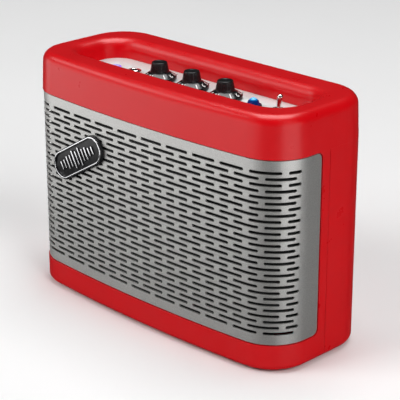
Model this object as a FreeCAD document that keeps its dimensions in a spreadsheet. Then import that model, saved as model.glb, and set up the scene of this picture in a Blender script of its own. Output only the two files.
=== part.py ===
"""A small battery-powered speaker amplifier with a wrap-round slotted grille and recessed controls.

Frame: +X to the right, +Y to the back, +Z up, millimetres. The origin lies on the surface that the
amplifier stands on, under the middle of the cabinet. The front faces -Y.
"""
import FreeCAD, Part
import math
import os

import Sketcher

Vec = FreeCAD.Vector
Turn = FreeCAD.Rotation
Place = FreeCAD.Placement

UP = Turn()
FORWARD = Turn(Vec(1, 0, 0), 90)      # local +Z points to the front, -Y
BACKWARD = Turn(Vec(1, 0, 0), -90)    # local +Z points to the back, +Y
SIDEWAYS = Turn(Vec(0, 1, 0), 90)     # local +Z points to the right, +X
SIDE_VIEW = Turn(Vec(1, 1, 1), 120)   # local X, Y and Z lie along Y, Z and X

DIMENSIONS = {
    # cabinet
    "width": 183, "depth": 76, "height": 132, "foot_rise": 1.4,
    "bow": 5, "front_corner": 22.5, "rear_corner": 23.5,
    "belt_level": 111, "top_taper": 0.93, "top_round": 5.3, "bottom_round": 3,
    "wall": 2.6, "seam_back": 2, "seam_line": 0.3,
    # recess and control panel
    "panel_level": 121.9, "panel_thick": 1.2, "panel_half_width": 73, "panel_half_depth": 16,
    "panel_corner": 11.5, "panel_bow": 1.2, "panel_gap": 0.15, "deck_thick": 2.5,
    "recess_flare_side": 3, "recess_flare_front": 2.6, "recess_flare_back": 0.4, "recess_corner": 13,
    "lip_round": 6.5, "rim_ceiling": 128.6, "deck_side": 9, "deck_front": 13, "deck_back": 9,
    # grille
    "grille_top": 110.5, "grille_bottom": 15.55, "grille_end": -3.8, "grille_inset": 0.45,
    "grille_thick": 1, "grille_gap": 0.5, "grille_corner": 3, "grille_ledge": 4,
    "slot_rows": 28, "slot_step_up": 3.07, "slot_top_row": 104.4, "slot_wide": 1.6,
    "slot_pitch": 17.65, "slot_long": 14.5, "corner_slot_start": 72.6, "corner_slot_end": 88.9,
    "end_slot_start": 92.1, "end_slot_end": 98.9, "even_end_start": 80.8, "even_end_end": 96.4,
    "cloth_thick": 0.4,
    # badge
    "badge_left": -47, "badge_level": 82, "badge_tilt": 30, "badge_half_run": 14.5, "badge_radius": 8,
    "badge_thick": 1.4, "emblem_thick": 0.8, "emblem_border": 0.9, "emblem_bar": 1.1, "emblem_step": 3,
    # controls
    "knob_pitch": 23.7, "knob_lift": 0.4, "knob_high": 9.1, "skirt_radius": 8.9, "skirt_edge": 1.7,
    "skirt_top": 3.7, "cap_radius": 4.9, "cap_top_radius": 4.1, "knob_hollow": 6.4, "knob_hollow_high": 2.3,
    "shaft_radius": 2.5, "shaft_fit": 0.06, "bushing_radius": 3.5, "bushing_rise": 2.1,
    "pot_radius": 8, "nut_across": 10, "nut_high": 1.6, "hole_ease": 0.1,
    "board_level": 104.4, "board_thick": 1.6,
    "button_left": -57.7, "button_radius": 2.15, "button_rise": 0.9, "ring_inner": 2.3, "ring_outer": 2.9,
    "ring_rise": 0.5, "switch_high": 7.3,
    "jack_left": -43.4, "jack_bore": 1.8, "jack_barrel": 3, "jack_rise": 1.2, "jack_bore_foot": 108.5,
    "jack_nut_radius": 4.1, "jack_nut_high": 1,
    "lamp_right": 43, "lens_radius": 3.5, "lens_rise": 4.4, "lens_shoulder": 2.4,
    "lens_crown": 4.2, "bezel_radius": 4.3, "bezel_rise": 1.2,
    "toggle_right": 59.2, "toggle_barrel": 3, "toggle_bore": 2.2, "toggle_rise": 2.5, "toggle_lean": 13,
    "toggle_nut_across": 8, "toggle_nut_high": 1.8, "lever_long": 8.5, "pivot_rise": 1,
    # baffle and loudspeakers
    "baffle_front": -26, "baffle_thick": 3, "baffle_half_width": 80, "baffle_low": 5, "rail_thick": 2,
    "rail_gap": 0.2, "rail_high": 5, "driver_level": 62, "woofer_right": 45, "tweeter_level": 62,
    "woofer_flange": 27, "woofer_cutout": 22.5, "woofer_cone": 18, "coil_radius": 6.1, "woofer_magnet": 14,
    "dust_cap_crown": 10,
    "tweeter_flange": 14, "tweeter_cutout": 10.5, "tweeter_dome": 6, "tweeter_crown": 8,
    "flange_thick": 1.2,
    # power and electronics
    "cell_radius": 9.2, "cell_long": 65, "cell_level": 16, "cell_apart": 19, "main_board_back": 25.6,
    "main_board_half": 53, "main_board_low": 45, "main_board_high": 100,
    "ports_half_width": 30, "ports_low": 16, "ports_high": 42, "ports_thick": 1.6, "ports_corner": 3,
    "dc_left": -14, "usb_right": 12, "ports_middle": 29,
    # fasteners and feet
    "post_right": 62, "post_low": 9.5, "post_high": 96, "post_radius": 4, "screw_radius": 1.5,
    "screw_head": 2.8, "screw_ease": 0.1, "screw_seat": 6, "screw_long": 12.5,
    "foot_radius": 6, "foot_seat": 1, "foot_right": 66, "foot_front": -20, "foot_back": 21,
}


class Size:
    """A size with its number and the spreadsheet expression that drives it."""

    def __init__(self, number, text):
        self.number = number
        self.text = text

    def __float__(self):
        return float(self.number)

    def __add__(self, other):
        return Size(float(self) + float(other), f"({self.text} + {words(other)})")

    def __sub__(self, other):
        return Size(float(self) - float(other), f"({self.text} - {words(other)})")

    def __mul__(self, other):
        return Size(float(self) * float(other), f"({self.text} * {words(other)})")

    def __truediv__(self, other):
        return Size(float(self) / float(other), f"({self.text} / {words(other)})")

    def __neg__(self):
        return Size(-float(self), f"(0 - {self.text})")


def words(size):
    """The expression of a size or of a plain number."""
    return size.text if isinstance(size, Size) else f"{float(size):.9g}"


def dome_drop(radius, reach):
    """How far a sphere of a radius falls away from its crown at a reach from its axis."""
    ball, out = float(radius), float(reach)
    number = ball - math.sqrt(ball * ball - out * out)
    return Size(number, f"({words(radius)} - sqrt({words(radius)} ^ 2 - {words(reach)} ^ 2))")


class Sizes:
    """Reads the sheet's cells by their aliases."""

    def __getattr__(self, alias):
        return Size(float(sheet.get(alias)), f"sizes.{alias}")


doc = FreeCAD.newDocument("amplifier")
sheet = doc.addObject("Spreadsheet::Sheet", "sizes")
for row, (alias, value) in enumerate(DIMENSIONS.items(), start=1):
    sheet.set(f"A{row}", alias.replace("_", " "))
    sheet.set(f"B{row}", str(value))
    sheet.setAlias(f"B{row}", alias)
doc.recompute()
S = Sizes()

subparts = []


# ---------------------------------------------------------------- building blocks
def named(item, label):
    """Gives a finished sub-part its name and puts it on the list to be written."""
    item.Label = label
    subparts.append(item)
    return item


def bind(item, prop, size):
    """Drives a property from the sheet, or sets it where the size is a plain number."""
    item.setExpression(prop, words(size))


def put(item, spot, turn=UP):
    """Places an item, with each coordinate driven from the sheet."""
    item.Placement = Place(Vec(*(float(c) for c in spot)), turn)
    for axis, size in zip("xyz", spot):
        bind(item, f"Placement.Base.{axis}", size)
    return item


def box(low, high):
    """A box between two corners."""
    item = doc.addObject("Part::Box", "box")
    for prop, start, end in zip(("Length", "Width", "Height"), low, high):
        bind(item, prop, Size(float(end), words(end)) - start)
    return put(item, low)


def cylinder(radius, length, spot, turn=UP):
    """A round bar from a spot along its local +Z."""
    item = doc.addObject("Part::Cylinder", "cylinder")
    bind(item, "Radius", radius)
    bind(item, "Height", length)
    return put(item, spot, turn)


def hexagon(across, length, spot, turn=UP):
    """A hexagonal bar, sized across its flats."""
    item = doc.addObject("Part::Prism", "prism")
    item.Polygon = 6
    bind(item, "Circumradius", across / math.sqrt(3))
    bind(item, "Height", length)
    return put(item, spot, turn)


def fused(*items):
    """One shape from several."""
    item = doc.addObject("Part::MultiFuse", "fused")
    item.Shapes = list(items)
    return item


def group(*items):
    """Separate solids kept together as one sub-part."""
    item = doc.addObject("Part::Compound", "group")
    item.Links = list(items)
    return item


def cut(base, *tools):
    """A base with the tools taken out of it."""
    item = doc.addObject("Part::Cut", "cut")
    item.Base = base
    item.Tool = tools[0] if len(tools) == 1 else fused(*tools)
    return item


def common(base, tool):
    """What two shapes share."""
    item = doc.addObject("Part::Common", "common")
    item.Base = base
    item.Tool = tool
    return item


def extruded(sketch, length, both_ways=False):
    """A sketch pushed along its own normal."""
    item = doc.addObject("Part::Extrusion", "extruded")
    item.Base = sketch
    item.DirMode = "Normal"
    item.Solid = True
    item.Symmetric = both_ways
    bind(item, "LengthFwd", length)
    return item


def lofted(lower, upper):
    """A straight-sided solid between two outlines."""
    item = doc.addObject("Part::Loft", "lofted")
    item.Sections = [lower, upper]
    item.Solid = True
    item.Ruled = True
    return item


def rounded(base, choices):
    """Fillets: choices pairs a test of an edge with a radius."""
    doc.recompute()
    item = doc.addObject("Part::Fillet", "rounded")
    item.Base = base
    edges = []
    for number, edge in enumerate(base.Shape.Edges, start=1):
        for wanted, radius in choices:
            if wanted(edge):
                edges.append((number, float(radius), float(radius)))
    item.Edges = edges
    return item


def arc_edge(start, end, radius):
    """An arc between two points: a positive radius has its centre on the left of the way along it."""
    chord = end - start
    middle = (start + end) * 0.5
    left = Vec(-chord.y, chord.x, 0).normalize()
    reach = math.sqrt(max(radius * radius - chord.Length ** 2 / 4, 0))
    centre = middle + left * (reach if radius > 0 else -reach)
    first, last = (start, end) if radius > 0 else (end, start)
    angles = [math.atan2(p.y - centre.y, p.x - centre.x) for p in (first, last)]
    if angles[1] <= angles[0]:
        angles[1] += 2 * math.pi
    return Part.ArcOfCircle(Part.Circle(centre, Vec(0, 0, 1), abs(radius)), *angles)


def size_arc(sketch, edge, point, chord):
    """Fixes an arc between two fixed ends: by its radius, or by its centre where it is a half circle."""
    radius = point[2] if float(point[2]) > 0 else Size(-float(point[2]), f"(0 - {words(point[2])})")
    if abs(chord.Length - 2 * float(radius)) > 1e-6:
        constraint, size = ("Radius", edge), radius
    elif abs(chord.x) < abs(chord.y):
        constraint, size = ("DistanceX", -1, 1, edge, 3), point[0]
    else:
        constraint, size = ("DistanceY", -1, 1, edge, 3), point[1]
    index = sketch.addConstraint(Sketcher.Constraint(*constraint, float(size)))
    sketch.setExpression(f"Constraints[{index}]", words(size))


def draw(sketch, points):
    """Draws a closed profile. A point's optional third value is the radius of the edge that leaves it."""
    count = len(points)
    spots = [Vec(float(p[0]), float(p[1]), 0) for p in points]
    ends = []
    for i, point in enumerate(points):
        start, end = spots[i], spots[(i + 1) % count]
        if len(point) == 3:
            sketch.addGeometry(arc_edge(start, end, float(point[2])), False)
            ends.append((1, 2) if float(point[2]) > 0 else (2, 1))
        else:
            sketch.addGeometry(Part.LineSegment(start, end), False)
            ends.append((1, 2))
    for i, point in enumerate(points):
        after = (i + 1) % count
        sketch.addConstraint(Sketcher.Constraint("Coincident", i, ends[i][1], after, ends[after][0]))
        for kind, size in zip(("DistanceX", "DistanceY"), point):
            index = sketch.addConstraint(Sketcher.Constraint(kind, -1, 1, i, ends[i][0], float(size)))
            sketch.setExpression(f"Constraints[{index}]", words(size))
        if len(point) == 3:
            size_arc(sketch, i, point, spots[after] - spots[i])


def body_sketch(body, role):
    """A sketch on one of a body's own origin planes."""
    sketch = body.newObject("Sketcher::SketchObject", body.Name + "_sketch")
    plane = next(item for item in body.Origin.OriginFeatures if item.Role == role)
    sketch.AttachmentSupport = (plane, [""])
    sketch.MapMode = "FlatFace"
    return sketch


def turned(points, spot, turn=UP):
    """A turned piece: a profile of radius and height, spun about its local Z."""
    body = doc.addObject("PartDesign::Body", "turned")
    sketch = body_sketch(body, "XZ_Plane")
    draw(sketch, points)
    spin = body.newObject("PartDesign::Revolution", body.Name + "_spin")
    spin.Profile = sketch
    spin.ReferenceAxis = (sketch, ["V_Axis"])
    spin.Angle = 360
    return put(body, spot, turn)


def plate(points, thick, spot, turn=UP):
    """A flat piece: an outline in its local XY plane, padded along its local Z."""
    body = doc.addObject("PartDesign::Body", "plate")
    sketch = body_sketch(body, "XY_Plane")
    draw(sketch, points)
    pad = body.newObject("PartDesign::Pad", body.Name + "_pad")
    pad.Profile = sketch
    bind(pad, "Length", thick)
    return put(body, spot, turn)


def rounded_rectangle(half_x, half_y, corner):
    """Points of a rounded rectangle about the origin."""
    inner_x, inner_y = half_x - corner, half_y - corner
    return [
        (-inner_x, -half_y), (inner_x, -half_y, corner), (half_x, -inner_y), (half_x, inner_y, corner),
        (inner_x, half_y), (-inner_x, half_y, corner), (-half_x, inner_y), (-half_x, -inner_y, corner),
    ]


# ---------------------------------------------------------------- cabinet outlines
def bowed_sketch(level, half_width, back, bow_radius, bow_centre, front_corner, rear_corner):
    """The cabinet's plan: a bowed front, rounded corners, straight sides and a straight back."""
    sketch = doc.addObject("Sketcher::SketchObject", "bowed_plan")
    hw, rear = float(half_width), float(back)
    big, centre = float(bow_radius), float(bow_centre)
    rf, rr = float(front_corner), float(rear_corner)
    corner_x = hw - rf
    corner_y = centre - math.sqrt((big - rf) ** 2 - corner_x ** 2)
    lean = math.asin(corner_x / (big - rf))
    normal = Vec(0, 0, 1)
    quarter = math.pi / 2

    def arc(x, y, radius, start, end):
        return Part.ArcOfCircle(Part.Circle(Vec(x, y, 0), normal, radius), start, end)

    sketch.addGeometry(
        [
            arc(0, centre, big, -quarter - lean, -quarter + lean),
            arc(corner_x, corner_y, rf, -quarter + lean, 0),
            Part.LineSegment(Vec(hw, corner_y, 0), Vec(hw, rear - rr, 0)),
            arc(hw - rr, rear - rr, rr, 0, quarter),
            Part.LineSegment(Vec(hw - rr, rear, 0), Vec(rr - hw, rear, 0)),
            arc(rr - hw, rear - rr, rr, quarter, 2 * quarter),
            Part.LineSegment(Vec(-hw, rear - rr, 0), Vec(-hw, corner_y, 0)),
            arc(-corner_x, corner_y, rf, 2 * quarter, 3 * quarter - lean),
        ],
        False,
    )
    for edge in range(8):
        sketch.addConstraint(Sketcher.Constraint("Tangent", edge, 2, (edge + 1) % 8, 1))
    sketch.addConstraint(Sketcher.Constraint("Vertical", 2))
    sketch.addConstraint(Sketcher.Constraint("Horizontal", 4))
    sketch.addConstraint(Sketcher.Constraint("Vertical", 6))
    sketch.addConstraint(Sketcher.Constraint("PointOnObject", 0, 3, -2))
    driven = [
        (("DistanceX", -1, 1, 2, 1), half_width), (("DistanceX", -1, 1, 6, 1), -half_width),
        (("DistanceY", -1, 1, 4, 1), back), (("DistanceY", -1, 1, 0, 3), bow_centre),
        (("Radius", 0), bow_radius), (("Radius", 1), front_corner), (("Radius", 7), front_corner),
        (("Radius", 3), rear_corner), (("Radius", 5), rear_corner),
    ]
    for constraint, size in driven:
        index = sketch.addConstraint(Sketcher.Constraint(*constraint, float(size)))
        sketch.setExpression(f"Constraints[{index}]", words(size))
    return put(sketch, (0, 0, level))


HALF_WIDTH = S.width / 2
FRONT, BACK = -(S.depth / 2), S.depth / 2
BOW_RADIUS = (HALF_WIDTH * HALF_WIDTH + S.bow * S.bow) / (S.bow * 2)
BOW_CENTRE = FRONT + BOW_RADIUS


def cabinet_plan(level, inward):
    """The cabinet's outline at a level, moved inward all round."""
    return bowed_sketch(
        level, HALF_WIDTH - inward, BACK - inward, BOW_RADIUS - inward, BOW_CENTRE,
        S.front_corner - inward, S.rear_corner - inward,
    )


def recess_plan(level, side, front, back, corner):
    """The control recess's outline at a level, moved outward by its own amount on each side."""
    half = S.panel_half_width + side
    bow_radius = half * half / (S.panel_bow * 2)
    bow_centre = bow_radius - S.panel_half_depth - front
    rear = S.panel_half_depth + back
    return bowed_sketch(level, half, rear, bow_radius, bow_centre, corner, corner)


def wall_band(low, high, outer, inner):
    """The band of the cabinet's wall between two inward offsets."""
    tall = high - low
    return cut(extruded(cabinet_plan(low, outer), tall), extruded(cabinet_plan(low, inner), tall))


def side_tongue(margin, corner):
    """A solid through the whole width that covers the grille's window, grown by a margin all round."""
    sketch = doc.addObject("Sketcher::SketchObject", "side_tongue")
    end, low, high = S.grille_end + margin, S.grille_bottom - margin, S.grille_top + margin
    draw(
        sketch,
        [
            (-S.depth, low), (end - corner, low, corner), (end, low + corner),
            (end, high - corner, corner), (end - corner, high), (-S.depth, high),
        ],
    )
    put(sketch, (0, 0, 0), SIDE_VIEW)
    return extruded(sketch, S.width + 20, both_ways=True)


# ---------------------------------------------------------------- cabinet
BASE = S.foot_rise
DECK_TOP = S.panel_level - S.panel_thick
DECK_FOOT = DECK_TOP - S.deck_thick
FLOOR = BASE + S.wall


def at_level(level):
    """Tests whether an edge lies at a level."""
    return lambda edge: all(abs(v.Z - float(level)) < 1e-4 for v in edge.Vertexes)


def rim_edge(outer):
    """Tests for the top edges of the outer wall or of the recess."""
    reach = float(S.panel_half_width + S.recess_flare_side) + 1
    depth = float(S.panel_half_depth + S.recess_flare_front) + 1

    def test(edge):
        middle = edge.BoundBox.Center
        inside = abs(middle.x) < reach and abs(middle.y) < depth
        return at_level(S.height)(edge) and inside != outer

    return test


def cabinet_block():
    """The cabinet's outside with its recess, rounded all round."""
    lower = extruded(cabinet_plan(BASE, 0), S.belt_level - BASE)
    upper = lofted(cabinet_plan(S.belt_level, 0), cabinet_plan(S.height, S.top_taper))
    gap = S.panel_gap
    flares = S.recess_flare_side, S.recess_flare_front, S.recess_flare_back
    recess = lofted(
        recess_plan(DECK_TOP, gap, gap, gap, S.panel_corner + gap),
        recess_plan(S.height, *flares, S.recess_corner),
    )
    block = cut(fused(lower, upper), recess)
    return rounded(
        block,
        [(rim_edge(True), S.top_round), (rim_edge(False), S.lip_round), (at_level(BASE), S.bottom_round)],
    )


def control_spots():
    """Where each control stands along the panel, with the radius of its hole in the panel and deck."""
    ease = S.hole_ease
    spots = [(S.knob_pitch * side, S.bushing_radius + ease) for side in (-1, 0, 1)]
    spots.append((S.button_left, S.ring_outer + ease))
    spots.append((S.jack_left, S.jack_barrel + ease))
    spots.append((S.lamp_right, S.lens_radius + ease))
    spots.append((S.toggle_right, S.toggle_barrel + ease))
    return spots


def cabinet_shells():
    """The front shell with the deck, and the rear shell that closes the back below the belt."""
    rim_high = S.rim_ceiling - DECK_FOOT
    deck_corner = S.recess_corner + S.lip_round
    deck_plan = recess_plan(DECK_FOOT, S.deck_side, S.deck_front, S.deck_back, deck_corner)
    rim_space = extruded(cabinet_plan(DECK_FOOT, S.wall + S.top_taper), rim_high)
    hollow = cut(
        cabinet_block(),
        extruded(cabinet_plan(FLOOR, S.wall), DECK_FOOT - FLOOR),
        cut(rim_space, extruded(deck_plan, rim_high)),
    )
    wide = S.width
    behind = box((-wide, S.seam_back, -S.height), (wide, S.depth, S.belt_level))
    line = common(
        wall_band(BASE, S.belt_level, -1, S.seam_line),
        box((-wide, S.seam_back - S.seam_line / 2, 0), (wide, S.seam_back + S.seam_line / 2, S.belt_level)),
    )
    front_shell(hollow, behind, line)
    rear_shell(hollow, behind, line)


def front_shell(hollow, behind, line):
    """The front half: rim, deck, grille seat, baffle rails and screw bosses."""
    rebate = common(
        wall_band(BASE, S.belt_level, -1, S.grille_inset + S.grille_thick),
        side_tongue(S.grille_gap, S.grille_corner + S.grille_gap),
    )
    window = common(
        wall_band(BASE, S.belt_level, 0, S.wall * 2),
        side_tongue(-S.grille_ledge, S.grille_corner),
    )
    holes = [
        cylinder(radius, S.deck_thick * 3, (spot, 0, DECK_FOOT - S.deck_thick))
        for spot, radius in control_spots()
    ]
    seats = [foot_seat(side, S.foot_front) for side in (-1, 1)]
    shell = cut(hollow, behind, line, rebate, window, *holes, *seats)
    named(fused(shell, *baffle_rails(), *screw_bosses()), "front_shell")


def baffle_rails():
    """The rails in the floor and under the deck that hold the baffle between them."""
    half = S.panel_half_width
    levels = ((FLOOR - 1, FLOOR + S.rail_high), (DECK_FOOT - S.rail_high, DECK_FOOT + 1))
    starts = (
        S.baffle_front - S.rail_gap - S.rail_thick,
        S.baffle_front + S.baffle_thick + S.rail_gap,
    )
    return [
        box((-half, start, low), (half, start + S.rail_thick, high))
        for low, high in levels
        for start in starts
    ]


def screw_bosses():
    """The front shell's four bored bosses, joined to its side walls."""
    inner, outer = S.post_right - S.post_radius, HALF_WIDTH - S.wall / 2 - 0.5
    long, bore_deep = 8, 7
    bosses = []
    for side in (-1, 1):
        near, far = (inner, outer) if side > 0 else (-outer, -inner)
        for level in (S.post_low, S.post_high):
            low = (near, S.seam_back - long, level - S.post_radius)
            high = (far, S.seam_back, level + S.post_radius)
            mouth = (S.post_right * side, S.seam_back, level)
            bore = cylinder(S.screw_radius + S.screw_ease, bore_deep, mouth, FORWARD)
            bosses.append(cut(box(low, high), bore))
    return bosses


def rear_shell(hollow, behind, line):
    """The back half: its wall, the connector panel's seat, the screw posts and the board's standoffs."""
    posts, bores = [], []
    for side in (-1, 1):
        for level in (S.post_low, S.post_high):
            spot = (S.post_right * side, S.seam_back, level)
            posts.append(cylinder(S.post_radius, S.depth / 2, spot, BACKWARD))
            bores.append(cylinder(S.screw_radius + S.screw_ease, S.depth, spot, BACKWARD))
            head_seat = (S.post_right * side, S.seam_back + S.screw_seat, level)
            bores.append(cylinder(S.screw_head + S.screw_ease * 2, S.depth, head_seat, BACKWARD))
    standoffs = [
        cylinder(3, BACK - S.wall / 2 - S.main_board_back, (x, S.main_board_back, z), BACKWARD)
        for x, z in board_corners()
    ]
    pilot_holes = [cylinder(1.1, 6, (x, S.main_board_back, z), BACKWARD) for x, z in board_corners()]
    inside = common(fused(*posts), cabinet_block_core())
    half_x, half_z = S.ports_half_width, (S.ports_high - S.ports_low) / 2
    middle = (0, BACK - S.ports_thick, S.ports_low + half_z)
    gap = S.panel_gap
    outline = rounded_rectangle(half_x + gap, half_z + gap, S.ports_corner + gap)
    seat = plate(outline, S.ports_thick * 2, middle, BACKWARD)
    ledge = 4
    mouth = box(
        (-half_x + ledge, BACK - S.wall * 2, S.ports_low + ledge),
        (half_x - ledge, BACK + 1, S.ports_high - ledge),
    )
    pilots = [cylinder(0.9, S.wall * 3, (x, BACK - S.wall * 2, z), BACKWARD) for x, z in port_screw_spots()]
    shell = common(hollow, behind)
    feet = [foot_seat(side, S.foot_back) for side in (-1, 1)]
    named(
        cut(fused(shell, inside, *standoffs), line, seat, mouth, *bores, *pilot_holes, *pilots, *feet),
        "rear_shell",
    )


def cabinet_block_core():
    """The space that the rear posts may fill: up to the middle of the cabinet's wall."""
    return extruded(cabinet_plan(BASE + 0.5, S.wall / 2), S.belt_level - BASE - 0.5)


def foot_seat(side, depthwise):
    """The shallow round seat of one foot in the cabinet's floor."""
    below = 5
    spot = (S.foot_right * side, depthwise, BASE - below)
    return cylinder(S.foot_radius + S.hole_ease, S.foot_seat + below, spot)


def board_corners():
    """The main board's four screw places, as X and Z."""
    margin = 5
    right = S.main_board_half - margin
    levels = (S.main_board_low + margin, S.main_board_high - margin)
    return [(right * side, level) for side in (-1, 1) for level in levels]


def port_screw_spots():
    """The connector panel's screw places, as X and Z."""
    margin = 2.4
    right = S.ports_half_width - margin
    levels = (S.ports_low + margin, S.ports_high - margin)
    return [(right * side, level) for side in (-1, 1) for level in levels]


# ---------------------------------------------------------------- grille
def along_grille(reach):
    """The point of the grille's face at a distance along it from the middle, and its outward normal."""
    inset = float(S.grille_inset)
    big, centre = float(BOW_RADIUS) - inset, float(BOW_CENTRE)
    small = float(S.front_corner) - inset
    corner_x = float(HALF_WIDTH) - float(S.front_corner)
    lean = math.asin(corner_x / (big - small))
    side, reach = math.copysign(1, reach), abs(reach)
    if reach <= big * lean:
        angle = reach / big
        point = Vec(side * big * math.sin(angle), centre - big * math.cos(angle), 0)
        return point, Vec(side * math.sin(angle), -math.cos(angle), 0)
    angle = min(lean + (reach - big * lean) / small, math.pi / 2)
    corner_y = centre - math.sqrt((big - small) ** 2 - corner_x ** 2)
    normal = Vec(side * math.sin(angle), -math.cos(angle), 0)
    return Vec(side * corner_x, corner_y, 0) + normal * small, normal


def slot_cutter(start, end):
    """A round-ended cutter for the slot between two distances along the grille, at level zero."""
    first, _ = along_grille(start)
    last, _ = along_grille(end)
    across = (last - first).normalize()
    outward = Vec(across.y, -across.x, 0)
    radius = float(S.slot_wide) / 2
    half = (last - first).Length / 2 - radius
    reach = 4
    middle = (first + last) * 0.5 - outward * reach
    up = Vec(0, 0, radius)
    right, left = middle + across * half, middle - across * half
    outline = Part.Wire(
        [
            Part.makeLine(left - up, right - up),
            Part.Arc(right - up, right + across * radius, right + up).toShape(),
            Part.makeLine(right + up, left + up),
            Part.Arc(left + up, left - across * radius, left - up).toShape(),
        ]
    )
    return Part.Face(outline).extrude(outward * reach * 2)


def slot_rows():
    """The two alternating rows of slots, as start and end distances along the grille."""
    pitch, long = float(S.slot_pitch), float(S.slot_long)
    gap = pitch - long
    odd = [(gap / 2 + pitch * i, gap / 2 + pitch * i + long) for i in range(4)]
    odd += [
        (float(S.corner_slot_start), float(S.corner_slot_end)),
        (float(S.end_slot_start), float(S.end_slot_end)),
    ]
    even = [(pitch * i - long / 2, pitch * i + long / 2) for i in range(1, 5)]
    even.append((float(S.even_end_start), float(S.even_end_end)))
    mirrored = [[(-end, -start) for start, end in row] + row for row in (odd, even)]
    mirrored[1].append((-long / 2, long / 2))
    return mirrored


def front_grille():
    """The sheet-metal grille: a bowed band with rounded ends and staggered rows of slots."""
    outer, inner = S.grille_inset, S.grille_inset + S.grille_thick
    band = common(wall_band(BASE, S.belt_level, outer, inner), side_tongue(0, S.grille_corner))
    doc.recompute()
    cutters = []
    rows = [[slot_cutter(*slot) for slot in row] for row in slot_rows()]
    for number in range(int(float(S.slot_rows))):
        level = Vec(0, 0, float(S.slot_top_row) - number * float(S.slot_step_up))
        cutters += [cutter.translated(level) for cutter in rows[number % 2]]
    grille = doc.addObject("Part::Feature", "grille")
    grille.Shape = band.Shape.cut(cutters)
    named(grille, "front_grille")
    cloth = common(
        wall_band(BASE, S.belt_level, inner, inner + S.cloth_thick),
        side_tongue(-S.grille_ledge - 0.5, S.grille_corner),
    )
    named(cloth, "grille_cloth")


def badge():
    """A plain sloping nameplate with a raised border and a row of sound-wave bars."""
    point, normal = along_grille(float(S.badge_left))
    yaw = math.degrees(math.atan2(normal.x, -normal.y))
    turn = Turn(Vec(0, 0, 1), yaw) * FORWARD * Turn(Vec(0, 0, 1), float(S.badge_tilt))
    run, radius = S.badge_half_run, S.badge_radius

    def spot(rise):
        out = normal * rise
        return (point.x + out.x, point.y + out.y, S.badge_level)

    def pill(shrink):
        r = radius - shrink
        return [(-run, -r), (run, -r, r), (run, r), (-run, r, r)]

    backing_rise = 0.02
    named(plate(pill(0), S.badge_thick, spot(backing_rise), turn), "badge_plate")
    face = backing_rise + float(S.badge_thick)
    border = cut(
        plate(pill(0.6), S.emblem_thick, spot(face), turn),
        plate(pill(S.emblem_border + 0.6), S.emblem_thick, spot(face), turn),
    )
    bars = []
    for step in range(-5, 6):
        centre = S.emblem_step * step
        swell = math.cos(step * math.pi / 11) ** 2 * (1 if step % 2 else 0.55)
        tall = (radius - 3.2) * (0.35 + 0.65 * swell)
        half = S.emblem_bar / 2
        left, right = centre - half, centre + half
        points = [(left, -tall, half), (right, -tall), (right, tall, half), (left, tall)]
        bars.append(plate(points, S.emblem_thick, spot(face), turn))
    named(group(border, *bars), "badge_emblem")


# ---------------------------------------------------------------- controls
def control_panel():
    """The thin metal plate on the deck, with a hole for each control."""
    sheet_metal = extruded(recess_plan(DECK_TOP, 0, 0, 0, S.panel_corner), S.panel_thick)
    holes = [
        cylinder(radius, S.deck_thick * 2, (spot, 0, DECK_TOP - 1))
        for spot, radius in control_spots()
    ]
    named(cut(sheet_metal, *holes), "control_panel")


def rotary_control(name, spot):
    """One knob with its shaft, potentiometer and the shaft's running fit in the bushing."""
    top = S.panel_level + S.knob_lift
    bore, high = S.shaft_radius + 0.02, S.knob_high
    knob = turned(
        [
            (S.skirt_radius, 0), (S.skirt_radius, S.skirt_edge), (S.cap_radius + 0.5, S.skirt_top),
            (S.cap_radius, S.skirt_top + 0.3), (S.cap_top_radius, high - 0.5),
            (S.cap_top_radius - 0.5, high), (S.cap_top_radius - 1.2, high),
            (S.cap_top_radius - 1.5, high - 0.35), (0, high - 0.35),
            (0, high - 1.8), (bore, high - 1.8), (bore, S.knob_hollow_high),
            (S.knob_hollow, S.knob_hollow_high), (S.knob_hollow, 0),
        ],
        (spot, 0, top),
    )
    named(knob, f"{name}_knob")
    foot = S.board_level + S.board_thick
    shaft_foot = foot + 6
    tip = top + high - 2
    named(cylinder(S.shaft_radius, tip - shaft_foot, (spot, 0, shaft_foot)), f"{name}_shaft")
    run = S.shaft_radius + S.shaft_fit
    shoulder, bushing_top = DECK_FOOT - foot, S.panel_level + S.bushing_rise - foot
    pot = turned(
        [
            (0, 0), (S.pot_radius, 0), (S.pot_radius, shoulder), (S.bushing_radius, shoulder),
            (S.bushing_radius, bushing_top), (run, bushing_top), (run, 5.5), (0, 5.5),
        ],
        (spot, 0, foot),
    )
    named(pot, f"{name}_pot")


def pot_nuts():
    """The three hexagon nuts that clamp the potentiometers to the panel."""
    nuts = [
        cut(
            hexagon(S.nut_across, S.nut_high, (S.knob_pitch * side, 0, S.panel_level)),
            cylinder(S.bushing_radius + 0.05, S.nut_high, (S.knob_pitch * side, 0, S.panel_level)),
        )
        for side in (-1, 0, 1)
    ]
    named(group(*nuts), "pot_nuts")


def pairing_control():
    """A small push button in a ring-shaped light guide, over its switch."""
    level, spot = S.panel_level, S.button_left
    stem_foot = S.board_level + S.board_thick + S.switch_high + 0.7
    flare, top = DECK_FOOT - stem_foot, level + S.button_rise - stem_foot
    stem, ease = 1.2, 0.3
    button = turned(
        [
            (0, 0), (stem, 0), (stem, flare), (S.button_radius, flare), (S.button_radius, top - ease),
            (S.button_radius - ease, top), (0, top),
        ],
        (spot, 0, stem_foot),
    )
    named(button, "pairing_button")
    ring_high = level + S.ring_rise - DECK_FOOT
    ring = turned(
        [(S.ring_inner, 0), (S.ring_outer, 0), (S.ring_outer, ring_high), (S.ring_inner, ring_high)],
        (spot, 0, DECK_FOOT),
    )
    named(ring, "pairing_light_ring")
    foot = S.board_level + S.board_thick
    low, high = (spot - 3, -3, foot), (spot + 3, 3, foot + S.switch_high - 0.8)
    named(fused(box(low, high), cylinder(1, S.switch_high, (spot, 0, foot))), "pairing_switch")


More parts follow.
